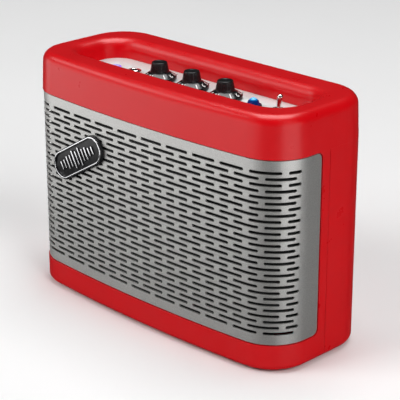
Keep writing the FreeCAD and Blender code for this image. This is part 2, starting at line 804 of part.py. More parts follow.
def aux_socket():
    """The 3.5 mm audio socket and its ring nut."""
    spot, foot = S.jack_left, S.board_level + S.board_thick
    top = S.panel_level + S.jack_rise
    body = fused(
        box((spot - 4, -6, foot), (spot + 4, 6, DECK_FOOT)),
        cylinder(S.jack_barrel, top - foot, (spot, 0, foot)),
    )
    named(cut(body, cylinder(S.jack_bore, top, (spot, 0, S.jack_bore_foot))), "aux_jack")
    named(
        cut(
            cylinder(S.jack_nut_radius, S.jack_nut_high, (spot, 0, S.panel_level)),
            cylinder(S.jack_barrel + 0.05, S.jack_nut_high, (spot, 0, S.panel_level)),
        ),
        "aux_jack_nut",
    )


def jewel():
    """The domed lens of the power light, its bezel and the lamp under it."""
    spot, level = S.lamp_right, S.panel_level
    foot = DECK_FOOT
    edge, crown = level + S.bezel_rise - foot, level + S.lens_rise - foot
    lens = turned(
        [
            (0, 2), (S.lens_radius - 1, 2), (S.lens_radius - 1, 0), (S.lens_radius, 0),
            (S.lens_radius, edge),
            (S.lens_shoulder, crown - dome_drop(S.lens_crown, S.lens_shoulder), S.lens_crown), (0, crown),
        ],
        (spot, 0, foot),
    )
    named(lens, "jewel_lens")
    named(
        turned(
            [(S.lens_radius + 0.05, 0), (S.bezel_radius, 0), (S.bezel_radius, S.bezel_rise - 0.4),
             (S.bezel_radius - 0.4, S.bezel_rise), (S.lens_radius + 0.05, S.bezel_rise)],
            (spot, 0, level),
        ),
        "jewel_bezel",
    )
    board_top = S.board_level + S.board_thick
    named(
        turned([(0, 0), (2.2, 0), (2.2, 8), (1.6, 9.5), (1.6, 12), (0, 12.6)], (spot, 0, board_top)),
        "jewel_lamp",
    )


def toggle():
    """The bat-lever power switch: body with barrel, nut and the lever on its pivot."""
    spot, level = S.toggle_right, S.panel_level
    foot = S.board_level + S.board_thick
    barrel_top = level + S.toggle_rise
    body = fused(
        box((spot - 4, -6.5, foot), (spot + 4, 6.5, DECK_FOOT)),
        cylinder(S.toggle_barrel, barrel_top - foot, (spot, 0, foot)),
    )
    named(cut(body, cylinder(S.toggle_bore, S.height, (spot, 0, DECK_FOOT - 3))), "toggle_switch")
    named(
        cut(
            hexagon(S.toggle_nut_across, S.toggle_nut_high, (spot, 0, level)),
            cylinder(S.toggle_barrel + 0.05, S.toggle_nut_high, (spot, 0, level)),
        ),
        "toggle_nut",
    )
    tail, ball = 5.5, 1.8
    lever = turned(
        [
            (0, -tail), (0.6, -tail), (0.6, -ball), (ball - 0.1, -0.6), (ball - 0.1, 0.6), (0.9, ball),
            (1.35, S.lever_long - 1.2), (1.35, S.lever_long - 0.6), (0.8, S.lever_long), (0, S.lever_long),
        ],
        (spot, 0, level + S.pivot_rise),
        Turn(Vec(1, 0, 0), -float(S.toggle_lean)),
    )
    named(lever, "toggle_lever")


def control_board():
    """The circuit board under the controls."""
    board = box((-66, -14, S.board_level), (66, 14, S.board_level + S.board_thick))
    named(board, "control_board")


# ---------------------------------------------------------------- loudspeakers
def front_baffle():
    """The board that carries the three loudspeakers."""
    half, front = S.baffle_half_width, S.baffle_front
    board = box((-half, front, S.baffle_low), (half, front + S.baffle_thick, DECK_FOOT - 1))
    holes = [
        cylinder(S.woofer_cutout, 10, (S.woofer_right * side, S.baffle_front - 2, S.driver_level), BACKWARD)
        for side in (-1, 1)
    ]
    holes.append(cylinder(S.tweeter_cutout, 10, (0, S.baffle_front - 2, S.tweeter_level), BACKWARD))
    holes += [cylinder(0.9, 10, (x, S.baffle_front - 2, z), BACKWARD) for x, z in driver_screw_spots()]
    named(cut(board, *holes), "front_baffle")


def driver_screw_spots():
    """Where the loudspeakers are screwed to the baffle, as X and Z."""
    spots = []
    for centre, flange, cutout in (
        (-S.woofer_right, S.woofer_flange, S.woofer_cutout),
        (S.woofer_right, S.woofer_flange, S.woofer_cutout),
        (Size(0, "0"), S.tweeter_flange, S.tweeter_cutout),
    ):
        reach = (flange + cutout) / 2
        for quarter in range(4):
            angle = math.radians(45 + 90 * quarter)
            spots.append((centre + reach * math.cos(angle), S.driver_level + reach * math.sin(angle)))
    return spots


def dome_profile(reach, radius, top, thick):
    """A dome of even thickness about the local Z, with both of its faces centred on the axis."""
    inner_reach, inner_radius, under = reach - thick, radius - thick, top - thick
    return [
        (0, under, -inner_radius), (inner_reach, -dome_drop(inner_radius, inner_reach) + under),
        (reach, -dome_drop(radius, reach) + top, radius), (0, top),
    ]


def woofer(name, right):
    """One cone loudspeaker: basket, magnet, cone with its coil former, dust cap and surround."""
    spot = (right, S.baffle_front, S.driver_level)
    flange, mouth, coil, magnet = S.woofer_flange, S.woofer_cutout - 0.5, S.coil_radius, S.woofer_magnet
    basket = turned(
        [
            (mouth - 0.6, S.flange_thick), (flange, S.flange_thick), (flange, 0), (mouth, 0),
            (magnet, -13), (magnet, -14.5), (coil + 0.9, -14.5), (coil + 0.9, -13.7), (magnet - 1, -13.7),
            (mouth - 1, -0.6),
        ],
        spot,
        FORWARD,
    )
    screw_holes = [
        cylinder(1.2, 4, (x, S.baffle_front - 3, z), BACKWARD)
        for x, z in driver_screw_spots()
        if abs(float(x) - float(right)) < float(flange)
    ]
    named(cut(basket, *screw_holes), f"{name}_woofer_basket")
    ring = turned([(coil + 0.9, -24), (magnet, -24), (magnet, -14.5), (coil + 0.9, -14.5)], spot, FORWARD)
    pole = coil - 0.8
    yoke = turned(
        [(0, -26), (magnet, -26), (magnet, -24), (pole, -24), (pole, -13), (0, -13)], spot, FORWARD
    )
    named(fused(ring, yoke), f"{name}_woofer_magnet")
    cone, lip = S.woofer_cone, -0.6
    named(
        turned(
            [
                (coil - 0.4, -20), (coil, -20), (coil, -8.4), (cone, lip - 0.5), (cone, lip), (coil, -7.8),
                (coil - 0.4, -7.8),
            ],
            spot,
            FORWARD,
        ),
        f"{name}_woofer_cone",
    )
    cap, crown, top, thick = coil + 0.6, S.dust_cap_crown, -4.3, 0.3
    named(turned(dome_profile(cap, crown, top, thick), spot, FORWARD), f"{name}_woofer_dust_cap")
    start, thick = cone + 0.1, 0.4
    roll = (mouth - 1.3 - start) / 2
    named(
        turned(
            [
                (start, lip), (start + thick, lip, -(roll - thick)), (start + roll * 2 - thick, lip),
                (start + roll * 2, lip, roll),
            ],
            spot,
            FORWARD,
        ),
        f"{name}_woofer_surround",
    )


def tweeter():
    """The small dome loudspeaker in the middle."""
    spot = (0, S.baffle_front, S.tweeter_level)
    flange, mouth, dome = S.tweeter_flange, S.tweeter_cutout - 0.5, S.tweeter_dome
    frame = turned(
        [
            (dome + 0.3, 0.2), (flange - 5, S.flange_thick), (flange, S.flange_thick), (flange, 0),
            (mouth, 0), (mouth, -4), (dome + 0.3, -4),
        ],
        spot,
        FORWARD,
    )
    holes = [
        cylinder(1.2, 4, (x, S.baffle_front - 3, z), BACKWARD)
        for x, z in driver_screw_spots()
        if abs(float(x)) < float(flange)
    ]
    named(cut(frame, *holes), "tweeter_frame")
    pot = [(0, -12), (mouth, -12), (mouth, -4), (dome + 0.5, -4), (dome + 0.5, -7), (0, -7)]
    named(turned(pot, spot, FORWARD), "tweeter_magnet")
    thick, coil_foot = 0.4, -6
    cap = dome_profile(dome, S.tweeter_crown, 1.9, thick)
    profile = [(dome, coil_foot), *cap[2:], *cap[:2], (dome - thick, coil_foot)]
    named(turned(profile, spot, FORWARD), "tweeter_dome")


def pan_screw(radius, head, head_high, length, spot, turn):
    """A screw whose head sits on the spot and whose shank runs along its local -Z."""
    return turned(
        [
            (0, -length), (radius, -length), (radius, 0), (head, 0), (head, head_high * 0.5),
            (head * 0.75, head_high), (0, head_high),
        ],
        spot,
        turn,
    )


def driver_screws():
    """The screws that hold the loudspeakers to the baffle."""
    face = S.baffle_front - S.flange_thick
    screws = [pan_screw(0.85, 1.6, 1, 4, (x, face, z), FORWARD) for x, z in driver_screw_spots()]
    named(group(*screws), "driver_screws")


# ---------------------------------------------------------------- power and electronics
def battery():
    """Two round lithium cells in a moulded cradle on the cabinet's floor."""
    half, level = S.cell_long / 2, S.cell_level
    ease, end_thick = 0.2, 1.8
    cells, troughs = [], []
    for side in (-1, 1):
        row = S.cell_apart / 2 * side
        cells.append(cylinder(S.cell_radius, S.cell_long, (-half, row, level), SIDEWAYS))
        trough_start = (-half - ease, row, level)
        troughs.append(cylinder(S.cell_radius + 0.15, S.cell_long + ease * 2, trough_start, SIDEWAYS))
    named(group(*cells), "battery_cells")
    reach, out = S.cell_apart + 0.9, half + ease + end_thick
    block = box((-out, -reach, FLOOR), (out, reach, level - 2))
    ends = [
        box((start, -reach, level - 2), (start + end_thick, reach, level + 4))
        for start in (-out, half + ease)
    ]
    named(cut(fused(block, *ends), *troughs), "battery_cradle")


def main_board():
    """The amplifier board on the rear shell's standoffs, with its larger parts."""
    back, front = S.main_board_back, S.main_board_back - S.board_thick
    half, low, high = S.main_board_half, S.main_board_low, S.main_board_high
    board = box((-half, front, low), (half, back, high))
    chips = [
        box((x, front - rise, z), (x + wide, front, z + tall))
        for x, z, wide, tall, rise in ((-20, 62, 12, 12, 1.6), (8, 70, 9, 9, 1.2), (-8, 84, 8, 6, 1.4))
    ]
    spots = ((26, 56), (36, 56), (-34, 58), (-34, 70))
    capacitors = [cylinder(4, 9, (x, front, z), FORWARD) for x, z in spots]
    coils = [box((x, front - 5, 74), (x + 9, front, 83)) for x in (22, 34)]
    holes = [cylinder(1.6, 10, (x, front - 5, z), BACKWARD) for x, z in board_corners()]
    named(cut(fused(board, *chips, *capacitors, *coils), *holes), "main_board")
    named(box((-44, front - 3.2, 78), (-28, front - 0.2, 94)), "wireless_module")
    screws = [pan_screw(1.05, 2.4, 1.4, 6, (x, front, z), FORWARD) for x, z in board_corners()]
    named(group(*screws), "board_screws")


def ribbon_cable():
    """The flat cable from the control board down to the main board."""
    thick, upper_bend, lower_bend = 0.5, 4, 3
    top, foot, near = S.board_level, S.main_board_high - 8, 8
    front = S.main_board_back - S.board_thick
    run = top - upper_bend * 2
    drop = front - 2
    sketch = doc.addObject("Sketcher::SketchObject", "ribbon")
    draw(
        sketch,
        [
            (near, top), (near, top - upper_bend, upper_bend), (near + upper_bend, run),
            (drop - lower_bend, run, -lower_bend), (drop, run - lower_bend), (drop, foot),
            (drop + thick, foot), (drop + thick, run - lower_bend, lower_bend + thick),
            (drop - lower_bend, run + thick), (near + upper_bend, run + thick, -(upper_bend - thick)),
            (near + thick, top - upper_bend), (near + thick, top),
        ],
    )
    middle, half_plug, plug_high, wide = 12, 7, 3, 12
    put(sketch, (middle, 0, 0), SIDE_VIEW)
    plug = box((middle - half_plug, front - 3, foot - plug_high), (middle + half_plug, front, foot))
    named(fused(extruded(sketch, wide, both_ways=True), plug), "ribbon_cable")


def rear_ports():
    """The connector panel in the back with its power inlet, charging socket and screws."""
    half_x, half_z = S.ports_half_width, (S.ports_high - S.ports_low) / 2
    middle = (0, BACK - S.ports_thick, S.ports_low + half_z)
    face = plate(rounded_rectangle(half_x, half_z, S.ports_corner), S.ports_thick, middle, BACKWARD)
    level = S.ports_middle
    inlet_hole = cylinder(3.4, 10, (S.dc_left, BACK - 5, level), BACKWARD)
    usb_hole = box((S.usb_right - 6.8, BACK - 5, level - 3.1), (S.usb_right + 6.8, BACK + 5, level + 3.1))
    screw_holes = [cylinder(1.1, 10, (x, BACK - 5, z), BACKWARD) for x, z in port_screw_spots()]
    named(cut(face, inlet_hole, usb_hole, *screw_holes), "rear_panel")
    screws = [pan_screw(0.85, 1.8, 0.7, 3.2, (x, BACK, z), BACKWARD) for x, z in port_screw_spots()]
    named(group(*screws), "rear_panel_screws")

    inner = BACK - S.ports_thick
    inlet = fused(
        box((S.dc_left - 4.5, inner - 13, level - 5.5), (S.dc_left + 4.5, inner, level + 5.5)),
        cylinder(3.3, S.ports_thick - 0.2, (S.dc_left, inner, level), BACKWARD),
    )
    inlet_bore = cylinder(2.8, 30, (S.dc_left, inner - 10, level), BACKWARD)
    pin = cylinder(1, 10, (S.dc_left, inner - 10.5, level), BACKWARD)
    named(fused(cut(inlet, inlet_bore), pin), "dc_inlet")

    right = S.usb_right
    shell = box((right - 6.6, inner - 14, level - 2.9), (right + 6.6, BACK - 0.2, level + 2.9))
    mouth = box((right - 6.1, inner - 10, level - 2.5), (right + 6.1, BACK + 1, level + 2.5))
    tongue = box((right - 5, inner - 10.5, level + 0.2), (right + 5, BACK - 1.5, level + 2))
    named(fused(cut(shell, mouth), tongue), "usb_port")


# ---------------------------------------------------------------- fasteners and feet
def case_screws():
    """The four long screws that pull the rear shell onto the front shell."""
    head_high = 2.2
    screws = []
    for side in (-1, 1):
        for level in (S.post_low, S.post_high):
            seat = (S.post_right * side, S.seam_back + S.screw_seat, level)
            screws.append(
                pan_screw(S.screw_radius, S.screw_head, head_high, S.screw_long, seat, BACKWARD)
            )
    named(group(*screws), "case_screws")


def rubber_feet():
    """Four round rubber feet, seated in the cabinet's floor."""
    tall = S.foot_rise + S.foot_seat
    feet = [
        turned(
            [(0, 0), (S.foot_radius - 0.8, 0), (S.foot_radius, 0.8), (S.foot_radius, tall), (0, tall)],
            (S.foot_right * side, depthwise, 0),
        )
        for side in (-1, 1)
        for depthwise in (S.foot_front, S.foot_back)
    ]
    named(group(*feet), "rubber_feet")


# ---------------------------------------------------------------- assembly
def build():
    """Builds every sub-part."""
    cabinet_shells()
    front_grille()
    badge()
    control_panel()
    for side, name in ((-1, "volume"), (0, "treble"), (1, "bass")):
        rotary_control(name, S.knob_pitch * side)
    pot_nuts()
    pairing_control()
    aux_socket()
    jewel()
    toggle()
    control_board()
    front_baffle()
    woofer("left", -S.woofer_right)
    woofer("right", S.woofer_right)
    tweeter()
    driver_screws()
    battery()
    main_board()
    ribbon_cable()
    rear_ports()
    case_screws()
    rubber_feet()


def check_and_write():
    """Stops on any failed object or bad shape, then writes one file for each sub-part."""
    doc.recompute()
    failed = [item.Label for item in doc.Objects if {"Invalid", "Error"} & set(item.State)]
    if failed:
        raise RuntimeError(f"failed objects: {failed}")
    for item in subparts:
        if item.Shape.isNull() or not item.Shape.isValid() or not item.Shape.Solids:
            raise RuntimeError(f"bad shape: {item.Label}")
    os.makedirs("parts", exist_ok=True)
    for item in subparts:
        item.Shape.exportStep(f"parts/{item.Label}.step")
        print(f"{item.Label}: {len(item.Shape.Solids)} solid(s), {item.Shape.Volume:.1f} mm3")


build()
check_and_write()
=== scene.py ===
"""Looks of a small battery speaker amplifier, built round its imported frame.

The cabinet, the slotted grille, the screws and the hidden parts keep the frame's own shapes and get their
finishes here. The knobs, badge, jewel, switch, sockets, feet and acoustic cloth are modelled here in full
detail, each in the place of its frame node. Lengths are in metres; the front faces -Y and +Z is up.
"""
import logging
import math
from collections.abc import Iterable, Sequence
from dataclasses import dataclass, field
from enum import Enum

import bmesh
import bpy
from mathutils import Matrix, Vector


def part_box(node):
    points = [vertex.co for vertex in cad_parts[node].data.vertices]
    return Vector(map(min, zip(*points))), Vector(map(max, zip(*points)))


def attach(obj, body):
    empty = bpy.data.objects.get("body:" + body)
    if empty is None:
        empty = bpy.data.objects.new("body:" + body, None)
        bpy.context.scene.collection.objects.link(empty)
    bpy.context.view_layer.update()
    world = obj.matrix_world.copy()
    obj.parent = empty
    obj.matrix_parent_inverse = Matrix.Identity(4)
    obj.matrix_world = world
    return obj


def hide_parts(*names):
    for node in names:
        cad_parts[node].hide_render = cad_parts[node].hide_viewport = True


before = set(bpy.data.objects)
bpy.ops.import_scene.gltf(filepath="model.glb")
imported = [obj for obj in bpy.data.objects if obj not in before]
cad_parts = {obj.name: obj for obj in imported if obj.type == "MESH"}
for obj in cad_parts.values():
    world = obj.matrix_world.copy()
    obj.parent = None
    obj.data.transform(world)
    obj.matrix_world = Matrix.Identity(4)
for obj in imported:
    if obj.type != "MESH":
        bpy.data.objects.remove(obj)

MM = 0.001
Colour = tuple[float, float, float]
Pair = tuple[float, float]
Socket = bpy.types.NodeSocket
Profile = Sequence[Pair]
log = logging.getLogger("amplifier")


class Body(Enum):
    """The rigid bodies of the frame that pieces ride on."""

    CABINET = "cabinet"
    VOLUME = "volume_control"
    TREBLE = "treble_control"
    BASS = "bass_control"
    PAIRING = "pairing_button"
    POWER = "power_lever"


class Slot(Enum):
    """The record's material slots, one passed with each new piece."""

    CLOTH = "black_cloth"
    BADGE = "badge_black"
    CHROME = "badge_chrome"
    PANEL = "panel_silver"
    KNOB = "knob_black"
    BRIGHT = "bright_metal"
    BUTTON = "button_white"
    RING = "light_ring"
    LENS = "blue_lens"
    BAFFLE = "baffle_black"
    RUBBER = "soft_rubber"


# ------------------------------------------------------------------------------------------ materials
class Graph:
    """One material's node tree, written as a chain of calls."""

    def __init__(self, name: str) -> None:
        """Starts an empty material with a Principled shader.

        Args:
            name: The material's name.
        """
        self.material = bpy.data.materials.new(name)
        self.material.use_nodes = True
        self.tree = self.material.node_tree
        self.shader = self.tree.nodes["Principled BSDF"]

    def node(self, kind: str, inputs: dict | None = None, **settings: object) -> bpy.types.Node:
        """Adds a shader node.

        Args:
            kind: The node's type after "ShaderNode".
            inputs: Socket names or numbers with their values or the sockets that feed them.
            settings: The node's own properties.

        Returns:
            The new node.
        """
        made = self.tree.nodes.new("ShaderNode" + kind)
        for key, value in settings.items():
            setattr(made, key, value)
        for socket, value in (inputs or {}).items():
            self.feed(made.inputs[socket], value)
        return made

    def feed(self, socket: Socket, value: object) -> None:
        """Links a socket to another, or sets its constant.

        Args:
            socket: The input socket.
            value: An output socket, a number or a tuple.
        """
        if isinstance(value, Socket):
            self.tree.links.new(value, socket)
        else:
            socket.default_value = value

    def set(self, **sockets: object) -> None:
        """Feeds the shader's sockets, whose names have underscores for their spaces."""
        for name, value in sockets.items():
            self.feed(self.shader.inputs[name.replace("_", " ")], value)

    def place(
        self,
        scale: Colour = (1, 1, 1),
        turn: Colour = (0, 0, 0),
        centre: Colour = (0, 0, 0),
        source: str = "Object",
    ) -> Socket:
        """Gives coordinates centred on a point, then turned and scaled.

        Args:
            scale: How much each axis is scaled.
            turn: Angles about X, Y and Z, in radians.
            centre: The point that becomes the origin.
            source: "Object" or "UV".

        Returns:
            The coordinates.
        """
        coordinates = self.node("TexCoord").outputs[source]
        moved = self.node("VectorMath", {0: coordinates, 1: centre}, operation="SUBTRACT").outputs[0]
        return self.node("Mapping", {"Vector": moved, "Rotation": turn, "Scale": scale}).outputs[0]

    def noise(
        self, where: Socket, scale: float, detail: float = 2, rough: float = 0.5, warp: float = 0
    ) -> Socket:
        """Gives fractal noise from 0 to 1: its lumps per unit, octaves, their strength and their fold."""
        inputs = {"Vector": where, "Scale": scale, "Detail": detail, "Roughness": rough, "Distortion": warp}
        return self.node("TexNoise", inputs).outputs[0]

    def cells(self, where: Socket, scale: float) -> Socket:
        """Gives the smooth distance field of scattered cells, at so many per unit."""
        made = self.node("TexVoronoi", {"Vector": where, "Scale": scale}, feature="SMOOTH_F1")
        return made.outputs["Distance"]

    def waves(
        self, where: Socket, scale: float, direction: str, warp: float = 0
    ) -> Socket:
        """Gives sine bands from 0 to 1 along "X", "Y" or "Z", which wander by the warp."""
        inputs = {"Vector": where, "Scale": scale, "Distortion": warp}
        return self.node("TexWave", inputs, bands_direction=direction).outputs["Fac"]

    def spread(self, value: Socket, start: Pair, end: Pair) -> Socket:
        """Maps a range onto another, clamped: start and end are each the value in and the value out."""
        inputs = {0: value, 1: start[0], 2: end[0], 3: start[1], 4: end[1]}
        return self.node("MapRange", inputs).outputs[0]

    def blend(self, share: object, first: object, second: object) -> Socket:
        """Mixes two colours.

        Args:
            share: How much of the second, as a number or a socket.
            first: A colour or a socket.
            second: A colour or a socket.

        Returns:
            The mixed colour.
        """
        ends = [opaque(x) if isinstance(x, tuple) else x for x in (first, second)]
        return self.node("Mix", {0: share, 6: ends[0], 7: ends[1]}, data_type="RGBA").outputs[2]

    def sum(self, how: str, first: object, second: object) -> Socket:
        """Joins two values with an operation such as "ADD", "MULTIPLY" or "MAXIMUM"."""
        return self.node("Math", {0: first, 1: second}, operation=how).outputs[0]

    def bump(
        self, height: Socket, strength: float, distance: float, under: object = None
    ) -> Socket:
        """Turns a height into a surface normal.

        Args:
            height: The height field.
            strength: How much of it shows.
            distance: What a height of 1 stands for, in metres.
            under: The normal that it adds to.

        Returns:
            The normal.
        """
        inputs = {"Height": height, "Strength": strength, "Distance": distance}
        if under is not None:
            inputs["Normal"] = under
        return self.node("Bump", inputs).outputs[0]

    def eased(self, radius: float) -> Socket:
        """Gives the normal of the surface with its sharp edges eased by a radius in metres."""
        return self.node("Bevel", {"Radius": radius}, samples=6).outputs[0]


def opaque(colour: Colour) -> tuple[float, float, float, float]:
    """Adds full opacity to a colour."""
    return (*colour, 1.0)


@dataclass(frozen=True)
class Finish:
    """A moulded or painted surface with slow mottling, uneven gloss and a fine grain."""

    name: str
    colour: Colour
    shade: Colour
    gloss: Pair = (0.35, 0.45)
    mottle: float = 40
    grain: float = 2200
    grain_depth: float = 0.03 * MM
    grain_strength: float = 0.15
    edge: float = 0.15 * MM
    metallic: float = 0
    specular: float = 0.5
    coat: float = 0
    coat_roughness: float = 0.1
    sheen: float = 0

    def material(self) -> bpy.types.Material:
        """Gives the finish's one material, made at the first call."""
        return bpy.data.materials.get(self.name) or self.made()

    def made(self) -> bpy.types.Material:
        """Makes the material: the constant sockets, then the painted ones.

        Returns:
            The material.
        """
        graph = Graph(self.name)
        graph.set(Metallic=self.metallic, Specular_IOR_Level=self.specular)
        graph.set(Coat_Weight=self.coat, Coat_Roughness=self.coat_roughness, Sheen_Weight=self.sheen)
        self.paint(graph)
        return graph.material

    def paint(self, graph: Graph) -> None:
        """Paints colour, gloss and relief.

        Args:
            graph: The material's nodes.
        """
        where = graph.place()
        graph.set(Base_Color=self.tint(graph, where))
        graph.set(Roughness=self.sheen_of(graph, where))
        relief, under = self.relief(graph, where), self.base(graph)
        graph.set(Normal=graph.bump(relief, self.grain_strength, self.grain_depth, under))

    def base(self, graph: Graph) -> object:
        """Gives the normal under the relief: the eased one, or none where edges stay sharp."""
        return graph.eased(self.edge) if self.edge else None

    def tint(self, graph: Graph, where: Socket) -> Socket:
        """Gives the colour with its slow mottling."""
        return graph.blend(graph.noise(where, self.mottle, 3), self.colour, self.shade)

    def sheen_of(self, graph: Graph, where: Socket) -> Socket:
        """Gives the uneven roughness."""
        patches = graph.noise(where, self.mottle * 2.7, 4, 0.6)
        return graph.spread(patches, (0.3, self.gloss[0]), (0.7, self.gloss[1]))

    def relief(self, graph: Graph, where: Socket) -> Socket:
        """Gives the height of the fine grain."""
        return graph.noise(where, self.grain, 3, 0.6)


@dataclass(frozen=True)
class SparkedPlastic(Finish):
    """Injection-moulded plastic from a spark-eroded tool: rounded pits with a finer grain over them."""

    pits: float = 1400
    dust: float = 0.05

    def relief(self, graph: Graph, where: Socket) -> Socket:
        """Gives pits and grain together."""
        pits = graph.cells(where, self.pits)
        return graph.sum("ADD", pits, graph.sum("MULTIPLY", graph.noise(where, self.grain, 2), 0.5))

    def tint(self, graph: Graph, where: Socket) -> Socket:
        """Gives the mottled colour, a little duller where handling has worn it.

        Args:
            graph: The material's nodes.
            where: The coordinates.

        Returns:
            The colour.
        """
        clean = graph.blend(graph.noise(where, self.mottle, 3), self.colour, self.shade)
        worn = graph.spread(graph.noise(where, 900, 4, 0.7), (0.62, 0), (0.85, self.dust))
        return graph.blend(worn, clean, tuple(0.7 * c + 0.03 for c in self.colour))


@dataclass(frozen=True)
class SandedMetal(Finish):
    """Blasted and lacquered sheet metal: a sandy sparkle in its colour, gloss and relief."""

    sparkle: float = 0.35

    def tint(self, graph: Graph, where: Socket) -> Socket:
        """Gives the metal colour with lighter and darker grains.

        Args:
            graph: The material's nodes.
            where: The coordinates.

        Returns:
            The colour.
        """
        slow = graph.blend(graph.noise(where, self.mottle, 3), self.colour, self.shade)
        grains = graph.noise(where, self.grain, 2, 0.7)
        gain = graph.spread(grains, (0.35, 1 - self.sparkle), (0.65, 1 + self.sparkle))
        return graph.node("VectorMath", {0: slow, "Scale": gain}, operation="SCALE").outputs[0]

    def sheen_of(self, graph: Graph, where: Socket) -> Socket:
        """Gives a roughness that changes from grain to grain."""
        grains = graph.noise(where, self.grain * 0.7, 3, 0.7)
        return graph.spread(grains, (0.3, self.gloss[0]), (0.7, self.gloss[1]))


@dataclass(frozen=True)
class PolishedMetal(Finish):
    """Plated metal with faint smudges and hairline scratches."""

    scratches: float = 900

    def sheen_of(self, graph: Graph, where: Socket) -> Socket:
        """Gives smudged gloss."""
        smudges = graph.noise(where, self.mottle * 3, 5, 0.65, 0.6)
        return graph.spread(smudges, (0.4, self.gloss[0]), (0.75, self.gloss[1]))

    def relief(self, graph: Graph, where: Socket) -> Socket:
        """Gives long thin scratches.

        Args:
            graph: The material's nodes.
            where: The coordinates.

        Returns:
            The height.
        """
        stretched = graph.place((1, 0.06, 0.3), (0.2, 0.5, 0.7))
        lines = graph.spread(graph.noise(stretched, self.scratches, 2, 0.8), (0.6, 0), (0.75, 1))
        return graph.sum("ADD", lines, graph.noise(where, self.grain, 2))


@dataclass(frozen=True)
class WovenCloth(Finish):
    """Acoustic cloth in plain weave, whose threads follow the sheet's own UV map in metres."""

    thread: float = 0.42 * MM

    def paint(self, graph: Graph) -> None:
        """Paints the crossing threads, with painted shade where the weave lies low between them.

        Args:
            graph: The material's nodes.
        """
        where = graph.place(source="UV")
        rate = math.pi / 10 / self.thread
        warp = graph.waves(where, rate, "X", 0.3)
        weft = graph.waves(where, rate, "Y", 0.3)
        board = graph.node("TexChecker", {"Vector": where, "Scale": 1 / self.thread}).outputs[1]
        height = graph.node("Mix", {0: board, 2: warp, 3: weft}, data_type="FLOAT").outputs[0]
        fuzz = graph.noise(where, 9000, 3, 0.7)
        height = graph.sum("ADD", height, graph.sum("MULTIPLY", fuzz, 0.35))
        # painted shade: the colour falls to the darker tone where the weave lies low, between the threads
        graph.set(Base_Color=graph.blend(graph.spread(height, (0.2, 0), (1.2, 1)), self.shade, self.colour))
        graph.set(Roughness=graph.spread(fuzz, (0.2, self.gloss[0]), (0.8, self.gloss[1])))
        graph.set(Normal=graph.bump(height, self.grain_strength, self.grain_depth))


@dataclass(frozen=True)
class PrintedInk(Finish):
    """Screen-printed ink with pinholes and a slightly raised, uneven film."""

    def tint(self, graph: Graph, where: Socket) -> Socket:
        """Gives the ink colour with thin patches."""
        thin = graph.spread(graph.noise(where, 3500, 3, 0.7), (0.6, 0), (0.8, 0.5))
        return graph.blend(thin, self.colour, self.shade)


@dataclass(frozen=True)
class LightGuide(Finish):
    """A glowing plastic light guide, brighter in patches where the light comes through."""

    glow: Colour = (0.3, 0.35, 1.0)
    power: float = 2

    def paint(self, graph: Graph) -> None:
        """Adds the glow to the plastic.

        Args:
            graph: The material's nodes.
        """
        super().paint(graph)
        where = graph.place()
        patches = graph.spread(graph.noise(where, 700, 3), (0.25, 0.35), (0.75, 1))
        graph.set(Emission_Color=graph.blend(patches, tuple(0.45 * c for c in self.glow), self.glow))
        graph.set(Emission_Strength=self.power)


@dataclass(frozen=True)
class JewelGlass(LightGuide):
    """A cast jewel lens with bubbles, glowing from its lamp, with the glow gathered into a painted highlight
    round a spot at its top.
    """

    ior: float = 1.49
    clear: float = 0.55
    highlight_spot: Colour = (0, 0, 0)
    reach: float = 4 * MM

    def paint(self, graph: Graph) -> None:
        """Makes the glass let light through, and the glow fade outwards from its spot as a painted highlight.

        Args:
            graph: The material's nodes.
        """
        super().paint(graph)
        graph.set(IOR=self.ior, Transmission_Weight=self.clear)
        # painted highlight: the glow is strongest at the highlight spot on the lens top and fades to almost
        # nothing within the reach
        away = graph.node("VectorMath", {0: graph.place(centre=self.highlight_spot)}, operation="LENGTH").outputs[1]
        fade = graph.spread(away, (0, 1), (self.reach, 0))
        flecks = graph.spread(graph.noise(graph.place(), 1200, 2), (0.3, 0.7), (0.7, 1.1))
        inner = graph.sum("MULTIPLY", fade, flecks)
        graph.set(Emission_Color=graph.blend(inner, tuple(0.01 * c for c in self.glow), self.glow))


@dataclass(frozen=True)
class CircuitLacquer(Finish):
    """Solder mask over copper traces."""

    copper: Colour = (0.05, 0.2, 0.07)
    pitch: float = 1.6 * MM

    def tint(self, graph: Graph, where: Socket) -> Socket:
        """Gives the lacquer, lighter over the traces.

        Args:
            graph: The material's nodes.
            where: The coordinates.

        Returns:
            The colour.
        """
        mask = graph.blend(graph.noise(where, self.mottle, 3), self.colour, self.shade)
        bricks = {"Vector": where, "Scale": 1 / self.pitch, "Mortar Size": 0.06, "Color1": (0, 0, 0, 1)}
        traces = graph.node("TexBrick", {**bricks, "Color2": (0, 0, 0, 1), "Mortar": (1, 1, 1, 1)}).outputs[0]
        return graph.blend(traces, mask, self.copper)


@dataclass(frozen=True)
class PaperPulp(Finish):
    """Pressed paper pulp with short fibres."""

    def relief(self, graph: Graph, where: Socket) -> Socket:
        """Gives tangled fibres.

        Args:
            graph: The material's nodes.
            where: The plain coordinates, which the stretched fibres do not need.

        Returns:
            The height.
        """
        fibres = graph.noise(graph.place((1, 1, 0.15), (0.4, 0.3, 0.9)), 3000, 3, 0.7)
        crossed = graph.noise(graph.place((0.15, 1, 1), (0.9, 0.2, 0.3)), 3000, 3, 0.7)
        return graph.sum("MAXIMUM", fibres, crossed)


@dataclass(frozen=True)
class RibbonFlex(Finish):
    """Flat cable with its conductors side by side."""

    wire: float = 1.27 * MM

    def relief(self, graph: Graph, where: Socket) -> Socket:
        """Gives one ridge for each conductor."""
        return graph.waves(where, math.pi / 10 / self.wire, "X")


